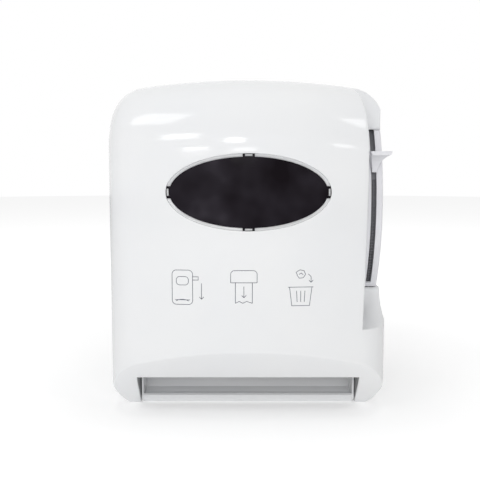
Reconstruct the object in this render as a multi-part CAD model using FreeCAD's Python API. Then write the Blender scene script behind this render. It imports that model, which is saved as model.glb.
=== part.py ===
import FreeCAD, Part
import math
import os

from FreeCAD import Placement, Rotation, Vector

# Lever paper towel dispenser, in millimetres.
# X runs to the right as the user faces the dispenser, Y runs from the user towards the wall, Z runs up.
# The origin is the middle of the base that the dispenser stands on.
# Depths are given as the distance behind the foremost line of the front face, and y_at() turns them into Y.
# Angles in the side view run from +Y towards +Z, so 180 degrees points to the user.

os.makedirs("parts", exist_ok=True)

# ---------------------------------------------------------------- driving dimensions

# casing
half_width = 154.5
height = 370.0
depth = 236.0
wall_y = 80.0
wall = 2.5
back_plate = 3.0
parting = 140.0
parting_gap = 0.4
lip_width = 8.0
lip_wall = 1.6
lip_foot = 60.0
lip_gap_top = 342.0

# outer form
face_radius = 560.0
crown_radius = 1019.0
side_radius = 40.0
brow_radius = 76.0
brow_start = 285.0
foot_radius = 60.0
foot_height = 40.0
foot_round = 3.0
chin_top = 75.0
chin_slope = 1.2

# window
window_height = 246.4
ring_x, ring_z = 87.6, 40.7
lens_x, lens_z = 83.8, 37.3
seat_x, seat_z = 78.8, 32.5
seat_depth = 2.6
seat_wall = 2.4

# paper guides and tear bar
tray_lip_z = 9.5
wing_x = 123.6
tear_screw_x = (-90.0, 0.0, 90.0)
tear_screw_z = 47.0
tear_screw_r = 1.5
tear_teeth = 70
tear_half = 108.0
tear_top, tear_root, tear_tip = 51.0, 40.0, 36.6

# paper outlet
outlet_half = 124.5
lip_z = 39.0
cheek_wall = 2.5
cheek_reach = 78.5

# lever recess
recess_floor = 79.0
recess_back = 82.0
recess_foot = 97.0
recess_sweep = 135.0
recess_mouth = 14.0
recess_edge_low = ((124.2, 90.0), (125.8, 150.0), (128.3, 215.0), (128.3, 270.0))
recess_edge_high = ((128.3, 270.0), (128.3, 318.0), (128.3, 350.0), (113.0, 372.0))
lever_side = 151.5

# lock of the cover
lock_d = 116.0
lock_r = 7.0
lock_body_r = 9.5
barrel_r = 4.5
cam_half = 5.0
cam_reach = 15.0
cam_z = 350.0
hook_x = (8.5, 16.0)
hook_d = 105.0
hook_stem_d = 137.0
hook_end_d = 149.8
hook_foot_z = 360.0
hook_wall = 3.0
hook_screw_d = 145.4

# cover hinge
hinge_d, hinge_z = 150.0, 18.0
hinge_pin_r = 3.0
hinge_disc_r = 21.5
hinge_ear_x = 140.0
hinge_lug_x = 133.5
hinge_clear_r = 26.0
base_half = 134.8

# lever
lever_d, lever_z = 218.0, 229.0
bezel_r = 165.0
bezel_wall = 3.0
bezel_left = 129.0
bezel_foot = 133.0
bezel_top_reach = 305.3
slot_x = 141.0
slot_half = 3.0
slot_low_angle = 33.5
lever_rest = 17.6
lever_pin_r = 5.0
arm_wall = 3.6
strip_outer_r = 161.3
strip_inner_r = 157.5
strip_half = 4.8
rib_pitch = 1.31
shield_outer_r = 158.8
shield_inner_r = 156.6

# thumb paddle and arm of the lever
paddle_top = 290.0
paddle_left, paddle_right = 133.0, 156.0
paddle_front = 31.0
paddle_plate = 3.8
paddle_tip_z = 267.0
arm_half_hub, arm_half_tip = 10.0, 9.6
arm_end = 170.0

# gears
tooth_backlash = 0.3
pressure_angle = 20.0
sector_module, sector_teeth = 1.5, 132
idler_small_teeth = 20
train_module, idler_big_teeth, roller_teeth = 1.25, 44, 32
sector_x0, sector_x1 = 128.0, 133.6
train_x0, train_x1 = 121.6, 127.2
clutch_r = 10.0

# rollers
drive_d, drive_z = 120.0, 104.0
drive_r = 17.0
drive_core_r = 14.0
drive_shaft_r = 4.0
drive_half = 100.0
pinch_r = 10.0
pinch_shaft_r = 3.0
pinch_drop = 5.0
nip_gap = 0.3
carriage_d, carriage_z = 84.0, 128.0
carriage_rod_r = 3.0

# side frames
frame_x = 116.5
frame_wall = 3.0
flange_d = 222.0

# paper roll holder
roll_d, roll_z = 112.0, 243.0
arm_x = 105.0
arm_plate = 3.5
arm_pivot_d = 222.0
core_r = 18.5

# wall fixing
screw_half_x = 80.0
screw_low_z, screw_high_z = 60.0, 300.0
screw_r = 3.0
screw_places = [(side * screw_half_x, z) for side in (-1, 1) for z in (screw_low_z, screw_high_z)]

# screws that hold the mechanism to the back plate
thread_r = 1.6
screw_length = 9.0
flange_screw_length = 12.5
boss_d = 230.5
boss_r = 5.0
screw_head_r = 3.5
screw_head = 2.2
flange_mid_x = 108.0
flange_screws = [(side * flange_mid_x, z) for side in (-1, 1) for z in (32.0, 96.0)] + [(flange_mid_x, 176.0)]
bracket_mid_x = 92.0
bracket_screw_z = 11.0
bracket_face = 227.4
bracket_plate = 2.6
bracket_screw = 7.0

# running clearance of shafts in their bores, on the radius
running = 0.05


# ---------------------------------------------------------------- helpers

def y_at(d):
    """Y of a point that lies d behind the foremost line of the front face."""
    return wall_y - depth + d


def box(x0, x1, d0, d1, z0, z1):
    return Part.makeBox(x1 - x0, d1 - d0, z1 - z0, Vector(x0, y_at(d0), z0))


def rod(x0, x1, d, z, r):
    """Cylinder along X."""
    return Part.makeCylinder(r, x1 - x0, Vector(x0, y_at(d), z), Vector(1, 0, 0))


def tube(x0, x1, d, z, outer, inner):
    return rod(x0, x1, d, z, outer).cut(rod(x0, x1, d, z, inner))


def stud(x, z, d0, d1, r):
    """Cylinder along Y."""
    return Part.makeCylinder(r, d1 - d0, Vector(x, y_at(d0), z), Vector(0, 1, 0))


def side_plate(points, x0, x1):
    """Plate with a straight-sided outline in the side view, from x0 to x1."""
    corners = [Vector(x0, y_at(d), z) for d, z in points]
    face = Part.Face(Part.makePolygon(corners + corners[:1]))
    return face.extrude(Vector(x1 - x0, 0, 0))


def front_plate(points, d0, d1):
    """Plate with a straight-sided outline in the front view, from depth d0 to d1."""
    corners = [Vector(x, y_at(d0), z) for x, z in points]
    face = Part.Face(Part.makePolygon(corners + corners[:1]))
    return face.extrude(Vector(0, d1 - d0, 0))


def ellipse_prism(cx, cz, rx, rz, d0, d1):
    curve = Part.Ellipse(Vector(cx, y_at(d0), cz), rx, rz)
    edge = curve.toShape()
    edge.rotate(Vector(cx, y_at(d0), cz), Vector(1, 0, 0), 90)
    return Part.Face(Part.Wire([edge])).extrude(Vector(0, d1 - d0, 0))


def ring_sector(centre, r0, r1, low, high, x0, x1):
    """Curved bar about an X axis: radii r0 to r1, angles low to high above the line towards the user."""
    d, z = centre
    ring = tube(x0, x1, d, z, r1, r0)
    reach = 2 * r1
    span = high - low
    steps = max(2, int(span / 30) + 2)
    rim = [(d - reach * math.cos(math.radians(low + span * i / (steps - 1))),
            z + reach * math.sin(math.radians(low + span * i / (steps - 1)))) for i in range(steps)]
    return ring.common(side_plate([(d, z)] + rim, x0, x1))


def fused(first, *others):
    shape = first
    for other in others:
        shape = shape.fuse(other)
    return shape.removeSplitter()


def without(shape, *tools):
    for tool in tools:
        shape = shape.cut(tool)
    return shape


def mirrored(shape):
    return shape.mirror(Vector(0, 0, 0), Vector(1, 0, 0))


def save(name, *solids):
    """Write one node; several solids are kept apart as a group."""
    if len(solids) == 1:
        shape = solids[0]
    else:
        shape = Part.makeCompound(list(solids))
    shape.exportStep("parts/" + name + ".step")


def on_circle(centre, r, angle):
    """Side-view point at radius r from centre, angle degrees above the line towards the user."""
    return (centre[0] - r * math.cos(math.radians(angle)), centre[1] + r * math.sin(math.radians(angle)))


lever_axis = (lever_d, lever_z)
drive_axis = (drive_d, drive_z)
carriage_axis = (carriage_d, carriage_z)


# ---------------------------------------------------------------- outer form

def sagging_arc(radius, half, place):
    """Edge of a shallow arc from -half to half; place(x, drop) turns each point into a vector."""
    def drop(x):
        return radius - math.sqrt(radius ** 2 - x ** 2)

    ends = [place(side * half, drop(half)) for side in (-1, 1)]
    return Part.Arc(ends[0], place(0, 0), ends[1]).toShape()


def capped(arc, *corners):
    """Face between an arc and the corners that follow its end."""
    points = [arc.Vertexes[-1].Point] + list(corners) + [arc.Vertexes[0].Point]
    lines = [Part.makeLine(a, b) for a, b in zip(points, points[1:])]
    return Part.Face(Part.Wire([arc] + lines))


def chin_tool(inset):
    """Everything in front of and below the sloping chin."""
    shift = inset * math.hypot(1, chin_slope)

    def line(d):
        return (d, chin_top + shift - chin_slope * d)

    far = (chin_top + shift + 30) / chin_slope
    return side_plate([line(-40), line(far), (-40, -30)], -2 * half_width, 2 * half_width)


def on_side(edge, x):
    """True for the front, brow and top edges of the side plane at x or at -x."""
    span = edge.BoundBox
    middle = edge.CenterOfMass
    level = span.ZLength < 0.01 and middle.z < brow_start
    back = span.YLength < 0.01 and middle.y > y_at(depth) - 1
    return span.XLength < 0.01 and abs(abs(middle.x) - x) < 0.01 and not level and not back


def outer_form(inset, bottom=0.0):
    """The closed form of the whole casing, moved inwards by inset."""
    if (inset, bottom) in known_forms:
        return known_forms[(inset, bottom)]
    half = half_width - inset
    face = sagging_arc(face_radius - inset, half, lambda x, drop: Vector(x, y_at(inset + drop), bottom))
    plan = capped(face, Vector(half, y_at(depth), bottom), Vector(-half, y_at(depth), bottom))
    crown = sagging_arc(crown_radius - inset, half + 5,
                        lambda x, drop: Vector(x, y_at(-20), height - inset - drop))
    low = [Vector(side * (half + 5), y_at(-20), bottom - 5) for side in (1, -1)]
    view = capped(crown, *low)
    form = plan.extrude(Vector(0, 0, height + 20)).common(view.extrude(Vector(0, depth + 40, 0)))
    brow = [edge for edge in form.Edges
            if edge.BoundBox.XLength > half and edge.CenterOfMass.z > brow_start
            and edge.CenterOfMass.y < y_at(brow_radius)]
    form = form.makeFillet(brow_radius - inset, brow)
    sides = [edge for edge in form.Edges if on_side(edge, half)]
    form = form.makeFillet(side_radius - inset, sides).Solids[0]
    known_forms[(inset, bottom)] = form.cut(chin_tool(inset))
    return known_forms[(inset, bottom)]


known_forms = {}


def foot_trim(inset, bottom):
    """Prism along Y that the casing is trimmed to: its lower corners taper in along an arc."""
    side = half_width - inset
    beyond = half_width + 10
    top = height + 50

    def at(x, z):
        return Vector(x, y_at(-10), z)

    def reach(z):
        return half_width - foot_radius + math.sqrt((foot_radius - inset) ** 2 - (foot_height - z) ** 2)

    middle = 0.5 * (foot_height + bottom)
    arcs = [Part.Arc(at(sign * side, foot_height), at(sign * reach(middle), middle),
                     at(sign * reach(bottom), bottom)).toShape() for sign in (-1, 1)]
    upper = [at(side, foot_height), at(beyond, foot_height), at(beyond, top),
             at(-beyond, top), at(-beyond, foot_height), at(-side, foot_height)]
    lines = [Part.makeLine(a, b) for a, b in zip(upper, upper[1:])]
    base = Part.makeLine(at(-reach(bottom), bottom), at(reach(bottom), bottom))
    outline = Part.Wire(Part.sortEdges(arcs + lines + [base])[0])
    return Part.Face(outline).extrude(Vector(0, depth + 20, 0))


def rounded_foot_trim():
    """The trim of the outer form, with a small rounding where the taper meets the underside."""
    trim = foot_trim(0.0, 0.0)
    corners = [edge for edge in trim.Edges
               if edge.BoundBox.YLength > depth and edge.BoundBox.ZMax < 0.01]
    return trim.makeFillet(foot_round, corners)


outside = outer_form(0.0).common(rounded_foot_trim())
inside = outer_form(wall, -5.0).common(foot_trim(wall, -5.0))
casing_shell = outside.cut(inside)


# ---------------------------------------------------------------- lever recess

def bezier(handles):
    curve = Part.BezierCurve()
    curve.setPoles(handles)
    return curve.toShape()


def recess_tool(inset):
    """What is taken out of the form for the lever, made larger by inset: a corner and a step in the side."""
    low = recess_foot - inset
    back = recess_back + inset
    floor = recess_floor + inset
    sweep = recess_sweep

    def at(d, z):
        return Vector(100, y_at(d), z)

    wide, tall = back - recess_mouth, sweep - low
    points = 8
    curve = [at(recess_mouth + wide * math.sin(math.pi / 2 * i / points),
                sweep - tall * math.cos(math.pi / 2 * i / points)) for i in range(points + 1)]
    spline = Part.BSplineCurve()
    spline.interpolate(Points=curve, InitialTangent=Vector(0, 1, 0), FinalTangent=Vector(0, 0, 1))
    edges = [
        Part.LineSegment(at(-20, low), curve[0]),
        spline,
        Part.LineSegment(curve[-1], at(back, 250)),
        Part.LineSegment(at(back, 250), at(floor, 300)),
        Part.LineSegment(at(floor, 300), at(floor, 400)),
        Part.LineSegment(at(floor, 400), at(-20, 400)),
        Part.LineSegment(at(-20, 400), at(-20, low)),
    ]
    side = Part.Face(Part.Wire([edge.toShape() for edge in edges])).extrude(Vector(80, 0, 0))
    low_edge, high_edge = [bezier([Vector(x - inset, y_at(-20), z) for x, z in handles])
                           for handles in (recess_edge_low, recess_edge_high)]
    low_point = low_edge.Vertexes[0].Point
    high_point = high_edge.Vertexes[-1].Point
    far_low = Vector(190, y_at(-20), low_point.z)
    far_high = Vector(190, y_at(-20), high_point.z)
    wire = Part.Wire([
        low_edge,
        high_edge,
        Part.makeLine(high_point, far_high),
        Part.makeLine(far_high, far_low),
        Part.makeLine(far_low, low_point),
    ])
    recess = side.common(Part.Face(wire).extrude(Vector(0, 120, 0)))
    step = box(lever_side - inset, 200, -20, 200, bezel_foot - 0.5 - inset, 400)
    return recess.fuse(step)


recess_outer = recess_tool(0.0)
recess_inner = recess_tool(wall)


# ---------------------------------------------------------------- front cover

def window_prism(rx, rz):
    return ellipse_prism(0, window_height, rx, rz, -10, 60)


def lever_side_profile(grow):
    """Side-view area of the lever housing: above its foot and inside the circle that the cover swings on."""
    disc = rod(-half_width, half_width + 20, hinge_d, hinge_z, bezel_top_reach + grow)
    strip = box(-half_width, half_width + 20, 40, parting + grow, bezel_foot - grow, 400)
    return disc.common(strip)


def front_cover():
    shell = casing_shell.cut(recess_outer).fuse(recess_inner.common(inside).cut(recess_outer))
    shell = shell.common(box(-200, 200, -20, parting - parting_gap, -1, 400))
    opening = lever_side_profile(0.5).common(box(bezel_left - 0.6, 200, 40, parting + 5, 0, 400))
    shell = shell.cut(opening)
    notch = box(-outlet_half, outlet_half, -20, 90, -5, lip_z)
    shell = shell.cut(notch)
    lip = box(-outlet_half - 1, outlet_half + 1, 33, 43, lip_z, lip_z + 2.2).cut(chin_tool(0.5))
    seat = outer_form_band(0.5 * wall, seat_depth + seat_wall)
    seat = seat.common(window_prism(ring_x + 3, ring_z + 3))
    shell = fused(shell, lip, seat)
    moat = window_prism(ring_x, ring_z).cut(outer_form(seat_depth))
    shell = without(shell, moat, window_prism(seat_x, seat_z))
    cheek = inner_cheek()
    shell = fused(shell, cheek, mirrored(cheek))
    disc = rod(hinge_ear_x, half_width, hinge_d, hinge_z, hinge_disc_r).common(outside)
    bore = rod(hinge_ear_x - 1, hinge_ear_x + 5.5, hinge_d, hinge_z, hinge_pin_r + running)
    ear = disc.cut(bore)
    joined = box(hinge_ear_x, half_width - 1, parting - 12, parting - parting_gap, 4, hinge_z + 8)
    ear = fused(ear, joined.common(outside).cut(bore))
    clear = rod(hinge_lug_x - 5, hinge_ear_x - 0.6, hinge_d, hinge_z, hinge_clear_r)
    shell = without(shell, clear, mirrored(clear))
    shell = fused(shell, ear, mirrored(ear))
    lock_hole = Part.makeCylinder(lock_r, 60, Vector(0, y_at(lock_d), height - 50))
    return shell.cut(lock_hole)


def outer_form_band(shallow, deep):
    """Front part of the layer of the outer form between two insets."""
    return outer_form(shallow).cut(outer_form(deep)).common(box(-120, 120, -10, 60, 180, 320))


def inner_cheek():
    """Side wall and foot of the outlet at the right, kept outside the circle that the fixed base needs."""
    plate = box(outlet_half, outlet_half + cheek_wall, 0, 100, 0, lip_z + 25)
    foot = box(outlet_half, half_width - 1, 0, 100, 0, cheek_wall)
    keep = rod(0, half_width + 5, hinge_d, hinge_z, cheek_reach)
    return fused(plate, foot).cut(keep).common(outer_form(0.5 * wall, 0.0)).common(foot_trim(0.5 * wall, 0.0))


def crown_height(x):
    return height - crown_radius + math.sqrt(crown_radius ** 2 - x ** 2)


def lock_parts():
    """Lock body, nut, rotor and cam, upright in the middle of the cover's top."""
    def post(r, z0, z1):
        return Part.makeCylinder(r, z1 - z0, Vector(0, y_at(lock_d), z0))

    top = crown_height(0)
    under = top - wall
    flange = post(lock_body_r, top + 0.1, top + 1.6)
    body = fused(flange, post(lock_r - 0.1, cam_z + 4, top + 0.1))
    body = body.cut(post(barrel_r + running, cam_z + 3, top + 5))
    nut = post(lock_body_r + 1.5, under - 4, under - 0.3).cut(post(lock_r, under - 6, under + 1))
    rotor = post(barrel_r, cam_z + 2.5, top + 1.3)
    key_slot = box(-2.6, 2.6, lock_d - 0.6, lock_d + 0.6, top - 9, top + 2)
    rotor = rotor.cut(key_slot)
    cam = fused(post(cam_half + 1, cam_z, cam_z + 2.5),
                box(-cam_half, cam_half, lock_d, lock_d + cam_reach, cam_z, cam_z + 2.5))
    return body, nut, rotor, cam


def lens():
    plate = outer_form_band(0.2, seat_depth).common(window_prism(lens_x, lens_z))
    band = outer_form_band(1.0, seat_depth)
    tab_half, tab_slot, tab_slot_depth = 6.4, 3.9, 1.1
    zone = window_prism(ring_x - 0.2, ring_z - 0.2)
    shape = plate
    for sign in (-1, 1):
        z_mid = window_height + sign * 0.5 * (lens_z + ring_z)
        z_end = z_mid + sign * 2
        arm = box(-tab_half, tab_half, -10, 60, min(z_end, window_height), max(z_end, window_height))
        slot = box(-tab_slot, tab_slot, -10, 60, z_mid - tab_slot_depth, z_mid + tab_slot_depth)
        shape = shape.fuse(band.common(zone).common(arm).cut(plate).cut(slot))
        x_mid = sign * 0.5 * (lens_x + ring_x)
        arm = box(min(x_mid + sign * 2, 0), max(x_mid + sign * 2, 0), -10, 60,
                  window_height - tab_half, window_height + tab_half)
        slot = box(x_mid - tab_slot_depth, x_mid + tab_slot_depth, -10, 60,
                   window_height - tab_slot, window_height + tab_slot)
        shape = shape.fuse(band.common(zone).common(arm).cut(plate).cut(slot))
    return shape.removeSplitter()


save("front_cover", front_cover())
save("window_lens", lens())
lock_body, lock_nut, lock_barrel, lock_cam = lock_parts()
save("lock_body", lock_body)
save("lock_nut", lock_nut)
save("lock_barrel", lock_barrel)
save("lock_cam", lock_cam)


# ---------------------------------------------------------------- rear housing

def latch_hook():
    """Striker under the top: a foot on a pad, a stem, and an arm with a nose that the lock's cam reaches behind."""
    arm = box(*hook_x, hook_d, hook_stem_d + hook_wall, cam_z + 3.3, cam_z + 3.3 + hook_wall)
    nose = box(*hook_x, hook_d, hook_d + 2.5, cam_z - 2.5, cam_z + 4)
    stem = box(*hook_x, hook_stem_d, hook_stem_d + hook_wall, cam_z + 4, hook_foot_z + hook_wall)
    foot = box(*hook_x, hook_stem_d, hook_end_d, hook_foot_z, hook_foot_z + hook_wall)
    return fused(arm, nose, stem, foot).cut(hook_post(thread_r, hook_foot_z - 1, hook_foot_z + 4))


def hook_post(r, z0, z1):
    """Upright cylinder on the axis of the striker's screw."""
    return Part.makeCylinder(r, z1 - z0, Vector(0.5 * sum(hook_x), y_at(hook_screw_d), z0))


def latch_screw():
    head = hook_post(screw_head_r - 0.3, hook_foot_z - screw_head, hook_foot_z)
    shank = hook_post(thread_r, hook_foot_z, hook_foot_z + 7)
    middle = 0.5 * sum(hook_x)
    slot = box(middle - 2, middle + 2, hook_screw_d - 0.4, hook_screw_d + 0.4,
               hook_foot_z - screw_head - 1, hook_foot_z - 1)
    return fused(head, shank).cut(slot)


def rear_housing():
    shell = casing_shell.common(box(-200, 200, parting, depth, -1, 400))
    back = outside.common(box(-200, 200, depth - back_plate, depth, -1, 400))
    core = outer_form(wall + parting_gap + lip_wall, -5.0)
    lip = outer_form(wall + parting_gap, -5.0).cut(core)
    lip = lip.common(box(-200, 200, parting - lip_width, parting + 1, lip_foot, 400))
    lip = lip.cut(box(100, 200, parting - lip_width - 1, parting + 0.2, bezel_foot - 6, lip_gap_top))
    bridge = inside.cut(core).common(box(-200, 200, parting + 0.2, parting + 6, lip_foot, 400))
    base = box(-base_half, base_half, 78, depth, 0, back_plate)
    base = fused(base, box(-outlet_half + 2.5, outlet_half - 2.5, 66, 80, 0, back_plate))
    rear_base = outside.common(box(-200, 200, hinge_d + 26, depth, 0, back_plate))
    foot_room = rod(hinge_ear_x - 0.6, 200, hinge_d, hinge_z, hinge_clear_r).common(box(0, 200, 0, depth, -1, 5.5))
    room = rod(hinge_ear_x - 0.6, 200, hinge_d, hinge_z, hinge_disc_r + 0.5).fuse(foot_room)
    shell = fused(shell, back, lip, bridge, rear_base)
    shell = fused(without(shell, room, mirrored(room)), base)
    lug = fused(rod(hinge_lug_x, hinge_ear_x - 0.6, hinge_d, hinge_z, 8),
                box(hinge_lug_x, hinge_ear_x - 0.6, hinge_d - 8, hinge_d + 8, 1, hinge_z))
    lug = lug.cut(rod(hinge_lug_x - 1, hinge_ear_x, hinge_d, hinge_z, hinge_pin_r))
    pad = box(hook_x[0] - 1, hook_x[1] + 1, parting + 0.2, hook_end_d, hook_foot_z + hook_wall, height)
    shell = fused(shell, lug, mirrored(lug), pad.common(inside))
    shell = shell.cut(hook_post(thread_r, hook_foot_z, hook_foot_z + 7.4))
    for x, z in screw_places:
        shell = shell.fuse(stud(x, z, depth - back_plate - 2.5, depth - back_plate, screw_r + 6))
    for x, z in flange_screws:
        shell = shell.fuse(stud(x, z, boss_d, depth - back_plate, boss_r))
    for side in (-1, 1):
        for dz in (-bracket_screw_z, bracket_screw_z):
            shell = shell.fuse(stud(side * bracket_mid_x, roll_z + dz, bracket_face + bracket_plate,
                                    depth - back_plate, 5))
    shell = shell.removeSplitter()
    for x, z in screw_places:
        shell = shell.cut(stud(x, z, depth - 20, depth + 1, screw_r))
    for x, z in flange_screws:
        shell = shell.cut(stud(x, z, flange_d, flange_d + flange_screw_length, thread_r))
    for side in (-1, 1):
        for dz in (-bracket_screw_z, bracket_screw_z):
            shell = shell.cut(stud(side * bracket_mid_x, roll_z + dz,
                                   bracket_face, bracket_face + bracket_screw, thread_r))
    return shell


def pan_screw(x, z, seat_d, length):
    """Pan-head screw driven towards the wall, its head against a face at seat_d."""
    head = stud(x, z, seat_d - screw_head, seat_d, screw_head_r)
    shank = stud(x, z, seat_d, seat_d + length, thread_r)
    recess = fused(box(x - 2, x + 2, seat_d - screw_head - 1, seat_d - 1, z - 0.4, z + 0.4),
                   box(x - 0.4, x + 0.4, seat_d - screw_head - 1, seat_d - 1, z - 2, z + 2))
    return fused(head, shank).cut(recess)


save("rear_housing", rear_housing())
save("latch_hook", latch_hook())
save("latch_screw", latch_screw())
hinge_pin = rod(hinge_lug_x, hinge_ear_x + 5.2, hinge_d, hinge_z, hinge_pin_r)
save("hinge_pins", hinge_pin, mirrored(hinge_pin))


# ---------------------------------------------------------------- side frames

def meeting_point(a, reach_a, b, reach_b, side):
    """Side-view point at reach_a from a and reach_b from b, on the chosen side of the line a to b."""
    du, dv = b[0] - a[0], b[1] - a[1]
    gap = math.hypot(du, dv)
    along = (reach_a ** 2 - reach_b ** 2 + gap ** 2) / (2 * gap)
    off = side * math.sqrt(reach_a ** 2 - along ** 2)
    return (a[0] + (along * du - off * dv) / gap, a[1] + (along * dv + off * du) / gap)


sector_r = 0.5 * sector_module * sector_teeth
idler_small_r = 0.5 * sector_module * idler_small_teeth
idler_big_r = 0.5 * train_module * idler_big_teeth
roller_gear_r = 0.5 * train_module * roller_teeth
idler_axis = meeting_point(lever_axis, sector_r + idler_small_r, drive_axis, idler_big_r + roller_gear_r, -1)
pinch_axis = on_circle(drive_axis, drive_r + pinch_r + nip_gap, -pinch_drop)

post_high = (119.5, 306.0)
post_low = (101.4, 137.9)
post_r = 4.0
idler_pin_r = 4.0
bush_r = 7.0
spring_post = (160.0, 290.0)
spring_eye_r = 2.0
spring_lug = on_circle(lever_axis, 55.0, 5.0)

lower_outline = [(78, 138), (75, 122), (84, 100), (48, 60), (47, 48), (100, 26), (112, 8),
                 (flange_d + frame_wall, 8)]
right_outline = lower_outline + [(flange_d + frame_wall, 262), (126, 314), (112, 312), (112, 168)]
left_outline = lower_outline + [(flange_d + frame_wall, 126), (138, 152)]


def side_frame(outline_points, x0, flange_x0, flange_high, screws):
    plate = side_plate(outline_points, x0, x0 + frame_wall)
    flange = box(flange_x0, flange_x0 + 20, flange_d, flange_d + frame_wall, 8, flange_high)
    frame = fused(plate, flange)
    frame = frame.cut(rod(x0 - 1, x0 + frame_wall + 1, drive_d, drive_z, bush_r))
    frame = frame.cut(rod(x0 - 1, x0 + frame_wall + 1, carriage_d, carriage_z, carriage_rod_r))
    for x, z in screws:
        frame = frame.cut(stud(x, z, flange_d - 1, flange_d + 5, thread_r))
    return frame


def spacer(x, z):
    """Sleeve that carries a frame's flange on the boss behind it."""
    d0, d1 = flange_d + frame_wall, boss_d
    return stud(x, z, d0, d1, boss_r).cut(stud(x, z, d0 - 1, d1 + 1, thread_r + running))


def spring_seat(sign):
    """Small ledge on a side frame that the pinch spring pushes against."""
    seat = box(110.5, frame_x + 0.5, 63.5, 66, 107.5, 116.5)
    tie = box(frame_x, frame_x + frame_wall, 63.5, 80, 107.5, 124)
    seat = fused(seat, tie)
    return seat if sign > 0 else mirrored(seat)


def right_frame():
    screws = [place for place in flange_screws if place[0] > 0]
    frame = side_frame(right_outline, frame_x, frame_x - 20 + frame_wall, 212, screws)
    frame = fused(frame, spring_seat(1), rod(frame_x - 3, frame_x, *lever_axis, 10))
    frame = frame.cut(rod(112, 130, *lever_axis, lever_pin_r))
    frame = frame.cut(rod(112, 130, *idler_axis, idler_pin_r))
    for place in (post_high, post_low):
        frame = frame.cut(rod(112, 130, *place, thread_r))
    frame = fused(frame, rod(frame_x + frame_wall - 0.5, train_x1 - 1, *spring_post, 2.5))
    for place in ((178.0, 196.0), (160.0, 66.0), (190.0, 120.0)):
        frame = frame.cut(rod(112, 130, *place, 13))
    return frame


def left_frame():
    screws = [place for place in flange_screws if place[0] < 0]
    frame = side_frame(left_outline, -frame_x - frame_wall, -frame_x - frame_wall, 126, screws)
    frame = fused(frame, spring_seat(-1))
    for place in ((160.0, 66.0), (185.0, 96.0)):
        frame = frame.cut(rod(-130, -112, *place, 13))
    return frame


save("frame_right", right_frame())
save("frame_left", left_frame())
save("frame_screws", *[pan_screw(x, z, flange_d, flange_screw_length) for x, z in flange_screws])
save("frame_spacers", *[spacer(x, z) for x, z in flange_screws])
save("lever_pin", rod(frame_x - 3, 147.6, *lever_axis, lever_pin_r))
save("idler_pin", rod(frame_x, 136.4, *idler_axis, idler_pin_r))


# ---------------------------------------------------------------- lever housing

def lever_housing():
    keep = lever_side_profile(0.0)
    body = rod(bezel_left, lever_side, *lever_axis, bezel_r).common(keep)
    hollow = rod(bezel_left - 1, lever_side - wall, *lever_axis, bezel_r - bezel_wall).common(
        box(0, 200, 0, 400, -10, 500))
    shell = body.cut(hollow)
    side = body.common(box(lever_side - wall, lever_side, 0, parting - parting_gap, 0, 400))
    inner = body.common(box(bezel_left, bezel_left + 2, 0, 112, 0, 400))
    shell = fused(shell, side, inner)
    edges = [edge for edge in shell.Edges if is_bezel_edge(edge)]
    shell = shell.makeFillet(2.6, edges)
    slot = ring_sector(lever_axis, bezel_r - 8, bezel_r + 8, -slot_low_angle, 45,
                       slot_x - slot_half, slot_x + slot_half)
    shell = shell.cut(slot)
    for place in (post_high, post_low):
        post = rod(frame_x + frame_wall, lever_side - wall + 0.5, *place, post_r)
        shell = shell.fuse(post)
    shell = shell.removeSplitter()
    for place in (post_high, post_low):
        shell = shell.cut(rod(frame_x + 1, frame_x + frame_wall + 8, *place, thread_r))
    return shell


def is_bezel_edge(edge):
    """The outer arc between the bezel's face and the side wall."""
    centre = edge.CenterOfMass
    on_side = abs(centre.x - lever_side) < 0.01
    ends = [edge.valueAt(edge.FirstParameter), edge.valueAt(edge.LastParameter)]
    on_rim = all(abs(math.hypot(p.y - y_at(lever_d), p.z - lever_z) - bezel_r) < 0.01 for p in ends)
    return on_side and on_rim and edge.Length > 50


def side_screw(place):
    """Screw through the right frame into a post of the lever housing."""
    head = rod(frame_x - screw_head, frame_x, *place, screw_head_r)
    shank = rod(frame_x, frame_x + screw_length, *place, thread_r)
    return fused(head, shank)


save("lever_housing", lever_housing())
save("housing_screws", side_screw(post_high), side_screw(post_low))


# ---------------------------------------------------------------- gears

def involute(angle):
    return math.tan(angle) - angle


def gear_outline(centre, module, teeth, first, count, root_close):
    """Side-view points of count teeth, the first one centred at angle first (degrees from +Y towards +Z)."""
    pitch_r = 0.5 * module * teeth
    base_r = pitch_r * math.cos(math.radians(pressure_angle))
    tip_r = pitch_r + 0.92 * module
    root_r = pitch_r - 1.25 * module
    half_pitch = 0.5 * math.pi / teeth - 0.25 * tooth_backlash / pitch_r
    at_pitch = involute(math.radians(pressure_angle))
    flank = []
    flank_points = 5
    start = max(base_r, root_r)
    for i in range(flank_points):
        r = start + (tip_r - start) * i / (flank_points - 1)
        flank.append((r, half_pitch + at_pitch - involute(math.acos(min(1.0, base_r / r)))))
    points = []
    for k in range(count):
        middle = math.radians(first) + 2 * math.pi * k / teeth
        rising = [(root_r, -flank[0][1])] + [(r, -a) for r, a in flank]
        falling = [(r, a) for r, a in reversed(flank)] + [(root_r, flank[0][1])]
        for r, a in rising + falling:
            points.append((centre[0] + r * math.cos(middle + a), centre[1] + r * math.sin(middle + a)))
    return points + root_close


def angle_of(a, b):
    """Direction from a to b in the side view, degrees from +Y towards +Z."""
    return math.degrees(math.atan2(b[1] - a[1], b[0] - a[0]))


def full_gear(centre, module, teeth, first, x0, x1):
    return side_plate(gear_outline(centre, module, teeth, first, teeth, []), x0, x1)


to_idler = angle_of(lever_axis, idler_axis)
to_drive = angle_of(idler_axis, drive_axis)
sector_step = 360.0 / sector_teeth
sector_low_teeth, sector_high_teeth = 1.5, 19.5


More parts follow.
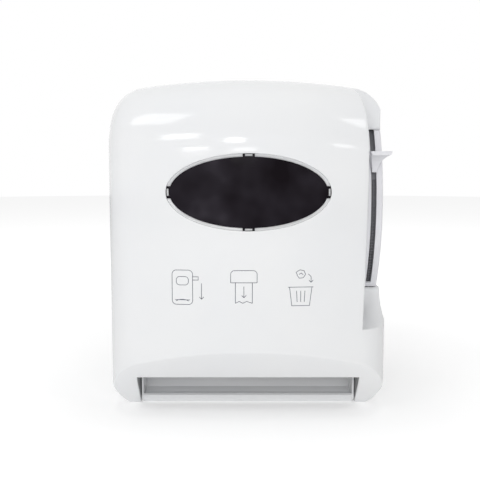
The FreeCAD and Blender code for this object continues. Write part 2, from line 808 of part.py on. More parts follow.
def sector_gear():
    first = to_idler - (sector_high_teeth) * sector_step
    count = int(sector_high_teeth + sector_low_teeth) + 1
    outline_points = gear_outline(lever_axis, sector_module, sector_teeth, first, count, [lever_axis])
    rim = side_plate(outline_points, sector_x0, sector_x1)
    hub = rod(train_x0, 134.5, *lever_axis, 13)
    gear = fused(rim, hub)
    low_angle = 184.5 - to_idler % 360
    for i in range(2):
        low = low_angle + 22 * i
        gear = gear.cut(ring_sector(lever_axis, 24, 84, low, low + 16, sector_x0 - 1, sector_x1 + 1)
                        .cut(rod(sector_x0 - 1, sector_x1 + 1, *spring_lug, 8)))
    gear = fused(gear, rod(train_x0 + 0.4, sector_x0 + 0.5, *spring_lug, spring_eye_r))
    return gear.cut(rod(110, 150, *lever_axis, lever_pin_r + running))


def idler_gear():
    half_tooth = 180.0 / idler_big_teeth
    big = full_gear(idler_axis, train_module, idler_big_teeth, to_drive + half_tooth, train_x0, train_x1)
    small = full_gear(idler_axis, sector_module, idler_small_teeth, to_idler + 180, train_x1, sector_x1 + 0.4)
    return fused(big, small).cut(rod(110, 150, *idler_axis, idler_pin_r + running))


def roller_pinion():
    gear = full_gear(drive_axis, train_module, roller_teeth, to_drive + 180, train_x0, train_x1)
    return gear.cut(rod(110, 150, *drive_axis, clutch_r))


save("sector_gear", sector_gear())
save("idler_gear", idler_gear())
save("roller_pinion", roller_pinion())
save("clutch_hub", tube(train_x0, train_x1 + 1, *drive_axis, clutch_r, drive_shaft_r))
save("idler_clip", tube(sector_x1 + 0.7, 135.4, *idler_axis, 7, idler_pin_r))


# ---------------------------------------------------------------- lever

def turned(shape, angle):
    """Turned in the side view about the lever's axis, positive lowers the front."""
    copy = shape.copy()
    copy.rotate(Vector(0, y_at(lever_d), lever_z), Vector(1, 0, 0), angle)
    return copy


def lever_arm():
    """Hub and straight arm that reaches out through the slot."""
    d, z = lever_axis
    half = 0.5 * arm_wall
    tip = d - arm_end
    outline = [(d, z - arm_half_hub), (d, z + arm_half_hub), (tip, z + arm_half_tip), (tip, z - arm_half_tip)]
    bar = side_plate(outline, slot_x - half, slot_x + half)
    arm = fused(turned(bar, -lever_rest), rod(134.5, 146.5, *lever_axis, 13))
    return arm.cut(rod(110, 160, *lever_axis, lever_pin_r + running))


def paddle():
    """Thumb pad: a flat top that narrows through a hollow underside to the arm."""
    tip_left, tip_right = slot_x - 2.6, slot_x + 2.6
    low = paddle_top - paddle_plate

    def at(x, z):
        return Vector(x, y_at(0), z)

    under_right = Part.Arc(at(paddle_right - 1, low), at(slot_x + 6.2, low - 7.5), at(tip_right, paddle_tip_z))
    under_left = Part.Arc(at(tip_left, paddle_tip_z), at(slot_x - 4.4, low - 6.5), at(paddle_left + 1, low))
    edges = [
        Part.LineSegment(at(paddle_left, paddle_top), at(paddle_right, paddle_top)),
        Part.LineSegment(at(paddle_right, paddle_top), at(paddle_right - 1, low)),
        under_right,
        Part.LineSegment(at(tip_right, paddle_tip_z), at(tip_left, paddle_tip_z)),
        under_left,
        Part.LineSegment(at(paddle_left + 1, low), at(paddle_left, paddle_top)),
    ]
    front = Part.Face(Part.Wire([edge.toShape() for edge in edges])).extrude(Vector(0, 90, 0))
    front_edge = Vector(0, y_at(paddle_front), low - 0.6)
    under = Part.Arc(front_edge, Vector(0, y_at(44), 281.5), Vector(0, y_at(53), paddle_tip_z - 1))
    side = capped(under.toShape(), Vector(0, y_at(80), paddle_tip_z - 1), Vector(0, y_at(80), paddle_top + 1),
                  Vector(0, y_at(paddle_front), paddle_top + 1)).extrude(Vector(200, 0, 0))
    pad = front.common(side)
    pad = pad.cut(rod(100, 200, *lever_axis, bezel_r + 1.2))
    return pad.cut(lever_arm())


def slot_strip():
    """Strip behind the slot below the lever: two rows of pockets between cross ribs and a middle spine."""
    low, high = -slot_low_angle - 3.5, lever_rest - 3.6
    x0, x1 = slot_x - strip_half, slot_x + strip_half
    floor_r = strip_outer_r - 1.8
    base = ring_sector(lever_axis, strip_inner_r, floor_r, low, high, x0, x1)
    plain = ring_sector(lever_axis, strip_inner_r, strip_outer_r, high - 3.4, high, x0, x1)

    def rail(left, right):
        return ring_sector(lever_axis, floor_r - 0.2, strip_outer_r, low, high - 3.2, left, right)

    spine = rail(slot_x - 0.35, slot_x + 0.35)
    edges = [rail(x0, x0 + 1.9), rail(x1 - 1.9, x1)]
    strip = fused(base, plain, spine, *edges)
    ribs = []
    rib_half = 0.19
    count = int((high - 3.4 - low) / rib_pitch)
    for i in range(count):
        angle = low + 0.3 + rib_pitch * i
        ribs.append(ring_sector(lever_axis, floor_r - 0.2, strip_outer_r,
                                angle - rib_half, angle + rib_half, x0, x1))
    return fused(strip, *ribs).cut(lever_arm())


def upper_shield():
    low, high = lever_rest + 3.4, 43.0
    x0, x1 = slot_x - strip_half + 0.4, slot_x + strip_half - 0.4
    return ring_sector(lever_axis, shield_inner_r, shield_outer_r, low, high, x0, x1).cut(lever_arm())


save("lever_arm", lever_arm())
save("lever_paddle", paddle())
save("slot_strip", slot_strip())
save("slot_shield", upper_shield())
save("lever_clip", tube(146.8, 147.6, *lever_axis, 9, lever_pin_r))


def coil_spring(start, end, x, r, wire, turns):
    """Extension spring between two side-view points, with a straight eye wire at each end."""
    length = math.hypot(end[0] - start[0], end[1] - start[1])
    tail = 9.0
    body = length - 2 * tail
    helix = Part.makeHelix(body / turns, body, r)
    profile = Part.Wire([Part.makeCircle(wire, Vector(r, 0, 0), Vector(0, 1, 0))])
    coil = Part.Wire(helix.Edges).makePipeShell([profile], True, True)
    coil.translate(Vector(0, 0, tail))
    lower = Part.makeCylinder(wire, tail - spring_eye_r + 0.5, Vector(r, 0, spring_eye_r))
    upper = Part.makeCylinder(wire, tail - spring_eye_r + 0.5, Vector(r, 0, length - tail - 0.5))
    spring = fused(coil, lower, upper)
    direction = Vector(0, end[0] - start[0], end[1] - start[1])
    spring.Placement = Placement(Vector(x, y_at(start[0]), start[1]), Rotation(Vector(0, 0, 1), direction))
    return spring


save("return_spring", coil_spring(spring_lug, spring_post, 124.6, 2.4, 0.5, 22))


# ---------------------------------------------------------------- feed rollers

def roller_core():
    shell = tube(-drive_half, drive_half, *drive_axis, drive_core_r, drive_core_r - 2)
    webs = []
    for x in (-drive_half, -0.5 * drive_half, -1.5, 0.5 * drive_half - 3, drive_half - 3):
        webs.append(tube(x, x + 3, *drive_axis, drive_core_r - 1, drive_shaft_r))
    return fused(shell, *webs)


sleeve_half = 17.0
sleeve_places = (-75.0, -25.0, 25.0, 75.0)
save("drive_shaft", rod(-126, train_x1 + 1.6, *drive_axis, drive_shaft_r))
save("roller_core", roller_core())
save("roller_sleeves", *[tube(x - sleeve_half, x + sleeve_half, *drive_axis, drive_r, drive_core_r)
                         for x in sleeve_places])
bush_inner = tube(frame_x - 3, frame_x + frame_wall, *drive_axis, bush_r, drive_shaft_r + running)
bush_flange = tube(frame_x - 3, frame_x - 0.01, *drive_axis, bush_r + 2.5, drive_shaft_r + running)
bush_right = fused(bush_inner, bush_flange)
save("bush_right", bush_right)
save("bush_left", mirrored(bush_right))
save("shaft_clip", tube(-123.2, -122.2, *drive_axis, 7, drive_shaft_r))

pinch_half = 103.0
save("pinch_roller", fused(tube(-pinch_half, pinch_half, *pinch_axis, pinch_r, pinch_r - 2),
                           tube(-pinch_half, -pinch_half + 6, *pinch_axis, pinch_r - 1, pinch_shaft_r),
                           tube(pinch_half - 6, pinch_half, *pinch_axis, pinch_r - 1, pinch_shaft_r)))
save("pinch_shaft", rod(-109.5, 109.5, *pinch_axis, pinch_shaft_r))
save("carriage_rod", rod(-frame_x - frame_wall, frame_x + frame_wall, *carriage_axis, carriage_rod_r))


def pinch_carriage():
    """Two arms and a cross bar that press the pinch roller against the drive roller."""
    arm_x0, arm_x1 = 105.5, 108.5
    arm = fused(rod(arm_x0, arm_x1, *carriage_axis, 6.5), rod(arm_x0, arm_x1, *pinch_axis, 6),
                side_plate([(carriage_d - 6.3, carriage_z - 1), (carriage_d + 6.3, carriage_z + 1),
                            (pinch_axis[0] + 5.8, pinch_axis[1] + 1), (pinch_axis[0] - 5.8, pinch_axis[1] - 1)],
                           arm_x0, arm_x1))
    lug = box(arm_x0, frame_x - 1, 78, 80.5, 108, 116)
    tie = box(arm_x0, arm_x1, 78, 90, 108, 116)
    arm = fused(arm, lug, tie)
    bar = box(-arm_x0 - 1, arm_x0 + 1, 77.5, 80, 125, 136)
    carriage = fused(arm, mirrored(arm), bar)
    carriage = carriage.cut(rod(-120, 120, *carriage_axis, carriage_rod_r + running))
    return carriage.cut(rod(-120, 120, *pinch_axis, pinch_shaft_r + running))


save("pinch_carriage", pinch_carriage())


def pinch_spring():
    r, wire, turns, body = 2.4, 0.4, 6, 11.0
    helix = Part.makeHelix(body / turns, body, r)
    profile = Part.Wire([Part.makeCircle(wire, Vector(r, 0, 0), Vector(0, 1, 0))])
    coil = Part.Wire(helix.Edges).makePipeShell([profile], True, True)
    coil.Placement = Placement(Vector(113, y_at(66.5), 112), Rotation(Vector(0, 0, 1), Vector(0, 1, 0)))
    return coil


spring = pinch_spring()
save("pinch_springs", spring, mirrored(spring))


# ---------------------------------------------------------------- paper path

def paper_chute():
    """Rear guide under the drive roller that runs down and forwards into the tray at the outlet."""
    top = (112.0, 84.0)
    bend = (93.0, 9.5)
    dip = (84.0, 5.6)
    front = (63.5, 5.2)
    lip = 2.2
    outline_points = [top, bend, dip, (front[0] + lip, front[1]), (front[0] + lip, tray_lip_z),
                      (front[0], tray_lip_z - 1.5), (front[0] + 2.5, back_plate), (bend[0] + 4, back_plate),
                      (top[0] + lip, top[1])]
    chute = side_plate(outline_points, -frame_x, frame_x)
    wing_z = 20.0
    low_part = side_plate(outline_points, -wing_x, wing_x).common(box(-200, 200, 0, 200, 0, wing_z))
    cheek = side_plate([(64, back_plate), (64, 30), (72, 37), (97, 37), (100, back_plate)],
                       wing_x - 2, wing_x)
    return fused(chute, low_part, cheek, mirrored(cheek))


def front_guide():
    """Guide in front of the paper that also carries the tear bar."""
    points = [(84, 86), (51, 52), (51, 42), (53, 42), (53, 51), (86, 85)]
    guide = side_plate(points, -frame_x, frame_x)
    for x in tear_screw_x:
        guide = guide.cut(stud(x, tear_screw_z, 40, 60, tear_screw_r))
    return guide


def tear_bar():
    """Steel strip with a saw edge along its lower side."""
    pitch = 2 * tear_half / tear_teeth
    points = [(tear_half, tear_top), (-tear_half, tear_top), (-tear_half, tear_root)]
    for i in range(tear_teeth):
        points.append((-tear_half + pitch * (i + 0.5), tear_tip))
        points.append((-tear_half + pitch * (i + 1), tear_root))
    bar = front_plate(points, 49.8, 51)
    for x in tear_screw_x:
        bar = bar.cut(stud(x, tear_screw_z, 40, 60, tear_screw_r))
    return bar


def tear_screw(x):
    return fused(stud(x, tear_screw_z, 47.8, 49.8, 3), stud(x, tear_screw_z, 49.8, 55, tear_screw_r))


save("paper_chute", paper_chute())
save("front_guide", front_guide())
save("tear_bar", tear_bar())
save("tear_bar_screws", *[tear_screw(x) for x in tear_screw_x])


# ---------------------------------------------------------------- roll holder

arm_root_x = arm_x + 0.5 * arm_plate
arm_pin_r = 2.0
arm_half_z = 14.0


def upright(r, length, low):
    """Cylinder on the right arm's upright pivot line."""
    return Part.makeCylinder(r, length, Vector(arm_root_x, y_at(arm_pivot_d), low))


def roll_arm():
    """Right arm: an upright barrel at the root, a tapering plate and a stub axle for the hub."""
    plate = side_plate([(arm_pivot_d - 3, roll_z - arm_half_z), (arm_pivot_d - 3, roll_z + arm_half_z),
                        (roll_d, roll_z + 12), (roll_d, roll_z - 12)], arm_x, arm_x + arm_plate)
    barrel = upright(4.0, 2 * arm_half_z, roll_z - arm_half_z)
    stub = rod(85, arm_x + 1, roll_d, roll_z, 4)
    arm = fused(plate, barrel, rod(arm_x, arm_x + arm_plate, roll_d, roll_z, 12), stub)
    return arm.cut(upright(arm_pin_r + running, 60, roll_z - 30))


def roll_bracket():
    """Right bracket: a plate on the back with two ears for the arm's pin."""
    bracket = box(bracket_mid_x - 9, arm_root_x + 6, bracket_face, bracket_face + bracket_plate,
                  roll_z - 20, roll_z + 20)
    for low in (roll_z - arm_half_z - 4.4, roll_z + arm_half_z + 0.4):
        ear = fused(upright(4.5, 4, low),
                    box(arm_root_x - 4.5, arm_root_x + 4.5, arm_pivot_d, bracket_face + 1, low, low + 4))
        bracket = fused(bracket, ear)
    bracket = bracket.cut(upright(arm_pin_r, 60, roll_z - 30))
    for dz in (-bracket_screw_z, bracket_screw_z):
        bracket = bracket.cut(stud(bracket_mid_x, roll_z + dz, 200, 240, thread_r))
    return bracket


def core_hub():
    """Right hub that the cardboard core of a roll turns on."""
    flange = rod(99.5, 102.0, roll_d, roll_z, 27)
    collar = rod(102.0, arm_x - 0.5, roll_d, roll_z, 8)
    cone = Part.makeCone(core_r - 3, core_r, 14, Vector(85.5, y_at(roll_d), roll_z), Vector(1, 0, 0))
    hub = fused(flange, collar, cone)
    return hub.cut(rod(80, 110, roll_d, roll_z, 4 + running))


arm_right = roll_arm()
bracket_right = roll_bracket()
hub_right = core_hub()
arm_pin = upright(arm_pin_r, 2 * arm_half_z + 8.8, roll_z - arm_half_z - 4.4)
save("roll_arm_right", arm_right)
save("roll_arm_left", mirrored(arm_right))
save("roll_brackets", bracket_right, mirrored(bracket_right))
save("arm_pins", arm_pin, mirrored(arm_pin))
save("core_hub_right", hub_right)
save("core_hub_left", mirrored(hub_right))
bracket_screws = [pan_screw(side * bracket_mid_x, roll_z + dz, bracket_face, bracket_screw)
                  for side in (-1, 1) for dz in (-bracket_screw_z, bracket_screw_z)]
save("bracket_screws", *bracket_screws)
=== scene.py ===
import functools
import math

import bmesh
import bpy
import numpy as np
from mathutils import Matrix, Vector
from mathutils.geometry import delaunay_2d_cdt

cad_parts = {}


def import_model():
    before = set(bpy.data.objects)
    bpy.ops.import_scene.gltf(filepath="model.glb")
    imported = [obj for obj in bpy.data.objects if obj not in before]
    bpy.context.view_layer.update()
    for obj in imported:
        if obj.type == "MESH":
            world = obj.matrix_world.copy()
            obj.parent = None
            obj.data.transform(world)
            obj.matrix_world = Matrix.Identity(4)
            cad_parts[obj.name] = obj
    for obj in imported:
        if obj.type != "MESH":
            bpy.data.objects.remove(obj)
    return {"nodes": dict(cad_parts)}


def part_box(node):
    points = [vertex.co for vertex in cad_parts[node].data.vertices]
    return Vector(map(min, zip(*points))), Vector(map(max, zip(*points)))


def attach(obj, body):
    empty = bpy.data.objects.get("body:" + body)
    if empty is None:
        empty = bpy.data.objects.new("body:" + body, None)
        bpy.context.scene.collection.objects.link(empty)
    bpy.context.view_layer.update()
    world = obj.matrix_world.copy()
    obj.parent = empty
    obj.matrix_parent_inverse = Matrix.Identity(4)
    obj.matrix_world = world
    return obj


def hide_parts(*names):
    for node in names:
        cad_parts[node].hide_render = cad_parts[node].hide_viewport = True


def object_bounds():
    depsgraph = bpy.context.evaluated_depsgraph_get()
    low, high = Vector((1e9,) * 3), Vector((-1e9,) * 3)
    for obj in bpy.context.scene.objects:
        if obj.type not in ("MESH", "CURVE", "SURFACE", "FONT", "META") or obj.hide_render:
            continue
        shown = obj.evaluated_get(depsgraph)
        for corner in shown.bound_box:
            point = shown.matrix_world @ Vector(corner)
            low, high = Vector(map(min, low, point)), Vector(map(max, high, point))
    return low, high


# The looks of a lever paper towel dispenser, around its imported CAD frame.
# Shapes are worked out in millimetres as (x, d, z), where d is the depth behind the
# foremost line of the face.

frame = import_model()
cad_low, cad_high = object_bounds()
MM = 0.001
_, housing_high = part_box("rear_housing")

# casing: PARTING is the depth of the cover's rear edge, EASE_START the height from which the
# upright lines of the face bend to the crown's, and SIDE_LOW a height just over the hinge
HALF_WIDTH = housing_high.x / MM
HEIGHT = housing_high.z / MM
FRONT = cad_low.y
PARTING = 139.6
WALL = 2.5
FACE_R = 560.0
CROWN_R = 1019.0
BROW_R = 76.0
SIDE_R = 40.0
EASE_START = 200.0
SIDE_LOW = 60.0
CHIN_TOP = 75.0
CHIN_SLOPE = 1.2
FOOT_RADIUS = 60.0
FOOT_HEIGHT = 40.0
FOOT_ROUND = 3.0

# hinge of the cover: (d, z) of its axis, and the discs that it turns on
HINGE = (150.0, 18.0)
DISC_R = 21.5
EAR_X = 140.0
EAR_GAP = 0.04
EAR_INSET = 0.4
PIN_R = 3.05

# paper outlet: the rear edge of its cheeks is an arc about the hinge
OUTLET_HALF = 124.5
LIP_Z = 39.0
LIP_BACK = 43.0
CHEEK_TOP = 58.0
CHEEK_REACH = 78.5

# lever recess: two cubic curves of (x, z) for its edge on the face; depths and heights of its
# foot and floor, with the heights between which the floor comes forward; x of the casing's side
# over it and of the ledge under it; the opening for the lever housing; a u left of its edge
RECESS_EDGE = (((124.2, 90.0), (125.8, 150.0), (128.3, 215.0), (128.3, 270.0)),
               ((128.3, 270.0), (128.3, 318.0), (128.3, 350.0), (113.0, 372.0)))
RECESS_FOOT = 97.0
RECESS_SWEEP = 135.0
SWEEP_LENGTH = 84.5
RECESS_BACK = 82.0
RECESS_FLOOR = 79.0
FLOOR_RISE = (250.0, 300.0)
LEVER_SIDE = 151.5
LEDGE_LEFT = 149.0
OPENING_LEFT = 128.4
OPENING_FOOT = 132.5
OPENING_REACH = 305.8
LEFT_OF_RECESS = 80.0

# window: half axes of the ring round it and of the seat behind the lens
WINDOW_Z = 246.4
RING = (87.6, 40.7)
SEAT = (78.8, 32.5)
SEAT_DEPTH = 2.6

# lock
LOCK_DEPTH = 116.0
LOCK_R = 7.0

# edge roundings; on a shallow wall the rounding takes only a share of its depth
CHIN_ROUND = 1.6
RECESS_ROUND = 1.8
RECESS_CORNER_ROUND = 0.3
SHALLOW_SHARE = 0.45
WINDOW_ROUND = 0.9

# mesh: spacing of the points in filled areas, rows of a rounding, the turn from which an edge
# is sharp, and the distances in millimetres (WELD in metres) at which points are one
GRID = 4.0
ROUND_STEPS = 6
SHARP_EDGE = math.radians(32)
SAME_CORNER = 1e-4
SAME_POINT = 1e-6
WELD = 3e-5
FILL_EPSILON = 1e-5
MITRE_LIMIT = 0.6

# points before the face and between the hinge's discs, which the pieces' outer sides look to
BEFORE_FACE = (0, -50, 180)
BETWEEN_DISCS = (0, *HINGE)

# rounds after which the searches for a crossing and for the corner's start have settled
BISECT_ROUNDS = 50
CORNER_ROUNDS = 12


# ---------------------------------------------------------------- the casing's form

FACE_END = HEIGHT - BROW_R
BROW_END = FACE_END + 0.5 * math.pi * BROW_R
CROWN_END = BROW_END + PARTING - BROW_R
SIDEWAYS = Vector((1, 0, 0))


def at(p):
    """Place in the frame, in metres, of a point (x, d, z) in millimetres."""
    return Vector((p[0] * MM, FRONT + p[1] * MM, p[2] * MM))


def slerp(a, b, t):
    """Unit vector at the share t of the turn from a to b."""
    angle = a.angle(b)
    return (a * math.sin((1 - t) * angle) + b * math.sin(t * angle)) / math.sin(angle)


def bisect(func, low, high):
    """Where the rising function func crosses zero."""
    for _ in range(BISECT_ROUNDS):
        middle = 0.5 * (low + high)
        if func(middle) > 0:
            high = middle
        else:
            low = middle
    return 0.5 * (low + high)


def sheet(s, v):
    """Point and normal of the face, brow and crown without the side corners.

    The brow's rounding has its centre line at x = s.
    """
    sine = s / (FACE_R - BROW_R)
    face_n = Vector((sine, -math.sqrt(1 - sine ** 2), 0))
    sine = s / (CROWN_R - BROW_R)
    crown_n = Vector((sine, 0, math.sqrt(1 - sine ** 2)))
    spine_d = FACE_R + (FACE_R - BROW_R) * face_n.y
    spine_z = HEIGHT - CROWN_R + (CROWN_R - BROW_R) * crown_n.z
    if v <= FACE_END:
        ease = max(0.0, (v - EASE_START) / (FACE_END - EASE_START))
        z = v - (FACE_END - spine_z) * ease
        return Vector((FACE_R * face_n.x, FACE_R + FACE_R * face_n.y, z)), face_n
    if v <= BROW_END:
        normal = slerp(face_n, crown_n, (v - FACE_END) / (BROW_END - FACE_END))
        return Vector((s, spine_d, spine_z)) + BROW_R * normal, normal
    share = (v - BROW_END) / (CROWN_END - BROW_END)
    depth = spine_d + share * (PARTING - spine_d)
    return Vector((CROWN_R * crown_n.x, depth, HEIGHT - CROWN_R + CROWN_R * crown_n.z)), crown_n


@functools.lru_cache(maxsize=None)
def corner_s(v):
    """Value of s at which the side corner begins."""
    s = HALF_WIDTH - SIDE_R
    for _ in range(CORNER_ROUNDS):
        point, normal = sheet(s, v)
        s += (HALF_WIDTH - SIDE_R) - (point.x - SIDE_R * normal.x)
    return s


# u at which the lower face's corner begins, the corner's length, u and d at which the side
# begins, and u at the parting line
corner_point, corner_normal = sheet(corner_s(0.0), 0.0)
ARC_START = corner_point.x
ARC_LENGTH = SIDE_R * corner_normal.angle(SIDEWAYS)
SIDE_START = ARC_START + ARC_LENGTH
SIDE_DEPTH = (corner_point - SIDE_R * corner_normal).y
SIDE_END = SIDE_START + PARTING - SIDE_DEPTH


def small_arc():
    """x of the middle and z of the top of the rounding between a foot's taper and underside."""
    across = math.sqrt((FOOT_RADIUS - FOOT_ROUND) ** 2 - (FOOT_HEIGHT - FOOT_ROUND) ** 2)
    share = FOOT_RADIUS / (FOOT_RADIUS - FOOT_ROUND)
    return HALF_WIDTH - FOOT_RADIUS + across, FOOT_HEIGHT - (FOOT_HEIGHT - FOOT_ROUND) * share


def foot_x(z):
    """Greatest x of the casing at the height z, where the lower corners taper in to the feet."""
    centre, top = small_arc()
    if z < top:
        return centre + math.sqrt(max(0.0, FOOT_ROUND ** 2 - (FOOT_ROUND - z) ** 2))
    return HALF_WIDTH - FOOT_RADIUS + math.sqrt(FOOT_RADIUS ** 2 - max(0.0, FOOT_HEIGHT - z) ** 2)


def form(u, v, sink=0.0):
    """Point of the casing, moved inwards by sink.

    u runs over the face and round to the side, v up the face and back over the crown.
    """
    reach = abs(u)
    s_end = corner_s(v)
    if reach <= ARC_START:
        point, normal = sheet(s_end * reach / ARC_START, v)
    else:
        point, start = sheet(s_end, v)
        centre = point - SIDE_R * start
        normal = slerp(start, SIDEWAYS, min(1.0, (reach - ARC_START) / ARC_LENGTH))
        point = centre + SIDE_R * normal
        point.y += max(0.0, reach - SIDE_START)
        point.x = min(point.x, foot_x(point.z))
    point = point - sink * normal
    return Vector((math.copysign(point.x, u) if u else 0.0, point.y, point.z))


def face_uv(x, z):
    """Coordinates (u, v) of the point of the face at x and z."""
    s = abs(x) * (FACE_R - BROW_R) / FACE_R
    drop = (CROWN_R - BROW_R) - math.sqrt((CROWN_R - BROW_R) ** 2 - s ** 2)
    share = drop / (FACE_END - EASE_START)
    v = z if z <= EASE_START else (z - share * EASE_START) / (1 - share)
    return math.copysign(ARC_START * s / corner_s(v), x), v


def crown_uv(x, d):
    """Coordinates (u, v) of the point of the crown at x and d."""
    s = abs(x) * (CROWN_R - BROW_R) / CROWN_R
    spine_d = FACE_R - math.sqrt((FACE_R - BROW_R) ** 2 - s ** 2)
    v = BROW_END + (d - spine_d) / (PARTING - spine_d) * (CROWN_END - BROW_END)
    return math.copysign(ARC_START * s / corner_s(v), x), v


def depth_u(d):
    """Value of u at which the lower part of the face has reached the depth d."""
    if d >= SIDE_DEPTH:
        return SIDE_START + d - SIDE_DEPTH
    return bisect(lambda u: form(u, 0.0).y - d, 0.0, SIDE_START)


# ---------------------------------------------------------------- mesh helpers

class Skin:
    """Open surface that is put together from strips and filled areas, then welded."""

    def __init__(self):
        self.mesh = bmesh.new()

    def face(self, points):
        """One face, without the corners that coincide."""
        corners = []
        for p in points:
            if not corners or (p - corners[-1]).length > SAME_CORNER:
                corners.append(p)
        if (corners[0] - corners[-1]).length < SAME_CORNER:
            corners.pop()
        if len(corners) > 2:
            self.mesh.faces.new([self.mesh.verts.new(at(p)) for p in corners])

    def strip(self, *rows, closed=False):
        """Quads between rows of points of equal length."""
        for one, two in zip(rows, rows[1:]):
            count = len(one)
            for i in range(count if closed else count - 1):
                j = (i + 1) % count
                self.face([one[i], one[j], two[j], two[i]])

    def rounding(self, start, corner, end, closed=False):
        """Rounded edge between two surfaces that would meet along the corner line."""
        rows = []
        for k in range(ROUND_STEPS + 1):
            t = k / ROUND_STEPS
            rows.append([(1 - t) ** 2 * a + 2 * t * (1 - t) * b + t ** 2 * c
                         for a, b, c in zip(start, corner, end)])
        self.strip(*rows, closed=closed)

    def fill(self, outline, holes, place):
        """Fills the flat outline less its holes with triangles, on the surface place(x, y)."""
        loops = [outline] + list(holes)
        points = [Vector(p) for loop in loops for p in loop]
        edges = []
        for loop in loops:
            first = len(edges)
            edges += [(first + i, first + (i + 1) % len(loop)) for i in range(len(loop))]
        points += [Vector(p) for p in inner_grid(loops)]
        flat, _, faces, *_ = delaunay_2d_cdt(points, edges, [], 1, FILL_EPSILON)
        centres = [sum((flat[i] for i in face), Vector((0, 0))) / len(face) for face in faces]
        keep = inside(loops[0], centres)
        for hole in holes:
            keep &= ~inside(hole, centres)
        made = [self.mesh.verts.new(at(place(p.x, p.y))) for p in flat]
        for face, kept in zip(faces, keep):
            if kept:
                self.mesh.faces.new([made[i] for i in face])

    def piece(self, name, outward, thickness=0.0, flat=False):
        """Welds the skin, turns its faces towards the point outward and makes an object of it.

        A flat skin may consist of several loose patches, and each of its faces is turned by itself.
        """
        mesh = self.mesh
        bmesh.ops.remove_doubles(mesh, verts=mesh.verts, dist=WELD)
        loose = [v for v in mesh.verts if not v.link_faces]
        bmesh.ops.delete(mesh, geom=loose, context="VERTS")
        bmesh.ops.recalc_face_normals(mesh, faces=mesh.faces)
        bmesh.ops.join_triangles(mesh, faces=[f for f in mesh.faces if len(f.verts) == 3],
                                 angle_face_threshold=0.2, angle_shape_threshold=0.6)
        target = at(outward)
        nearest = min(mesh.faces, key=lambda f: (f.calc_center_median() - target).length)
        if flat:
            away = [f for f in mesh.faces if f.normal.dot(target - f.calc_center_median()) < 0]
            bmesh.ops.reverse_faces(mesh, faces=away)
        elif nearest.normal.dot(target - nearest.calc_center_median()) < 0:
            bmesh.ops.reverse_faces(mesh, faces=mesh.faces)
        for edge in mesh.edges:
            if len(edge.link_faces) == 2 and edge.calc_face_angle() > SHARP_EDGE:
                edge.smooth = False
        for f in mesh.faces:
            f.smooth = True
        obj = mesh_object(name, mesh)
        if thickness:
            solid = obj.modifiers.new("thickness", "SOLIDIFY")
            solid.thickness = thickness * MM
            solid.offset = -1
            solid.use_rim = True
            solid.use_quality_normals = True
        return obj


def mesh_object(name, mesh):
    """Object of a bmesh, which is used up."""
    data = bpy.data.meshes.new(name)
    mesh.to_mesh(data)
    mesh.free()
    obj = bpy.data.objects.new(name, data)
    bpy.context.scene.collection.objects.link(obj)
    return obj


def inside(loop, points):
    """For each 2-D point, whether it lies inside the closed loop."""
    px, py = np.array([(p[0], p[1]) for p in points], float).T
    result = np.zeros(len(px), bool)
    for (x0, y0), (x1, y1) in zip(loop, list(loop[1:]) + [loop[0]]):
        if y0 != y1:
            crosses = (y0 > py) != (y1 > py)
            result ^= crosses & (px < (x1 - x0) * (py - y0) / (y1 - y0) + x0)
    return result


def inner_grid(loops):
    """Grid points inside the first loop, outside the others and clear of all their edges."""
    outline = np.array(loops[0], float)
    low, high = outline.min(0), outline.max(0)
    xs, ys = (np.arange(low[i] + 0.5 * GRID, high[i], GRID) for i in (0, 1))
    grid = np.array(np.meshgrid(xs, ys)).reshape(2, -1).T
    keep = inside(loops[0], grid)
    for hole in loops[1:]:
        keep &= ~inside(hole, grid)
    grid = grid[keep]
    clear = np.full(len(grid), np.inf)
    for loop in loops:
        for a, b in zip(loop, list(loop[1:]) + [loop[0]]):
            a, along = np.array(a, float), np.array(b, float) - np.array(a, float)
            t = np.clip(((grid - a) @ along) / max(along @ along, SAME_POINT ** 2), 0, 1)
            clear = np.minimum(clear, np.hypot(*(grid - a - t[:, None] * along).T))
    return grid[clear > 0.5 * GRID]


def offset(points, distance, closed=False):
    """Points moved to the left of the line that they form.

    The distance is one number, or one for each point.
    """
    result = []
    count = len(points)
    for i, p in enumerate(points):
        sides = []
        if i > 0 or closed:
            sides.append(Vector(p) - Vector(points[i - 1]))
        if i < count - 1 or closed:
            sides.append(Vector(points[(i + 1) % count]) - Vector(p))
        sides = [side for side in sides if side.length > SAME_POINT]
        normals = [Vector((-side.y, side.x)).normalized() for side in sides]
        middle = sum(normals, Vector((0, 0))).normalized()
        reach = distance[i] if isinstance(distance, (list, tuple)) else distance
        mitre = max(MITRE_LIMIT, middle.dot(normals[0]))
        result.append(tuple(Vector(p) + middle * reach / mitre))
    return result


def spread(a, b, count):
    """count + 1 numbers from a to b."""
    return [a + (b - a) * i / count for i in range(count + 1)]


def arc_points(x, z, radius, start, end, count=10):
    """Points of an arc about (x, z), with angles in degrees."""
    return [(x + radius * math.cos(math.radians(a)), z + radius * math.sin(math.radians(a)))
            for a in spread(start, end, count)]


# ---------------------------------------------------------------- front cover

def bezier(handles, t):
    """Point of a cubic curve with four handles."""
    weights = ((1 - t) ** 3, 3 * t * (1 - t) ** 2, 3 * t ** 2 * (1 - t), t ** 3)
    return [sum(w * handle[axis] for w, handle in zip(weights, handles)) for axis in (0, 1)]


edge_line = [bezier(handles, t) for handles in RECESS_EDGE for t in spread(0, 1, 60)]


def edge_x(z):
    """x of the recess's inner wall at the height z."""
    return float(np.interp(z, [p[1] for p in edge_line], [p[0] for p in edge_line]))


def step_u(v):
    """Value of u at which the right corner reaches the inset side above the lever housing."""
    return bisect(lambda u: form(u, v).x - LEVER_SIDE, ARC_START, SIDE_START)


# depth of the face where the foot of the recess meets the recess's edge
mouth_depth = bisect(lambda d: form(depth_u(d), 0.0).x - edge_x(RECESS_FOOT), 5.0, 50.0)


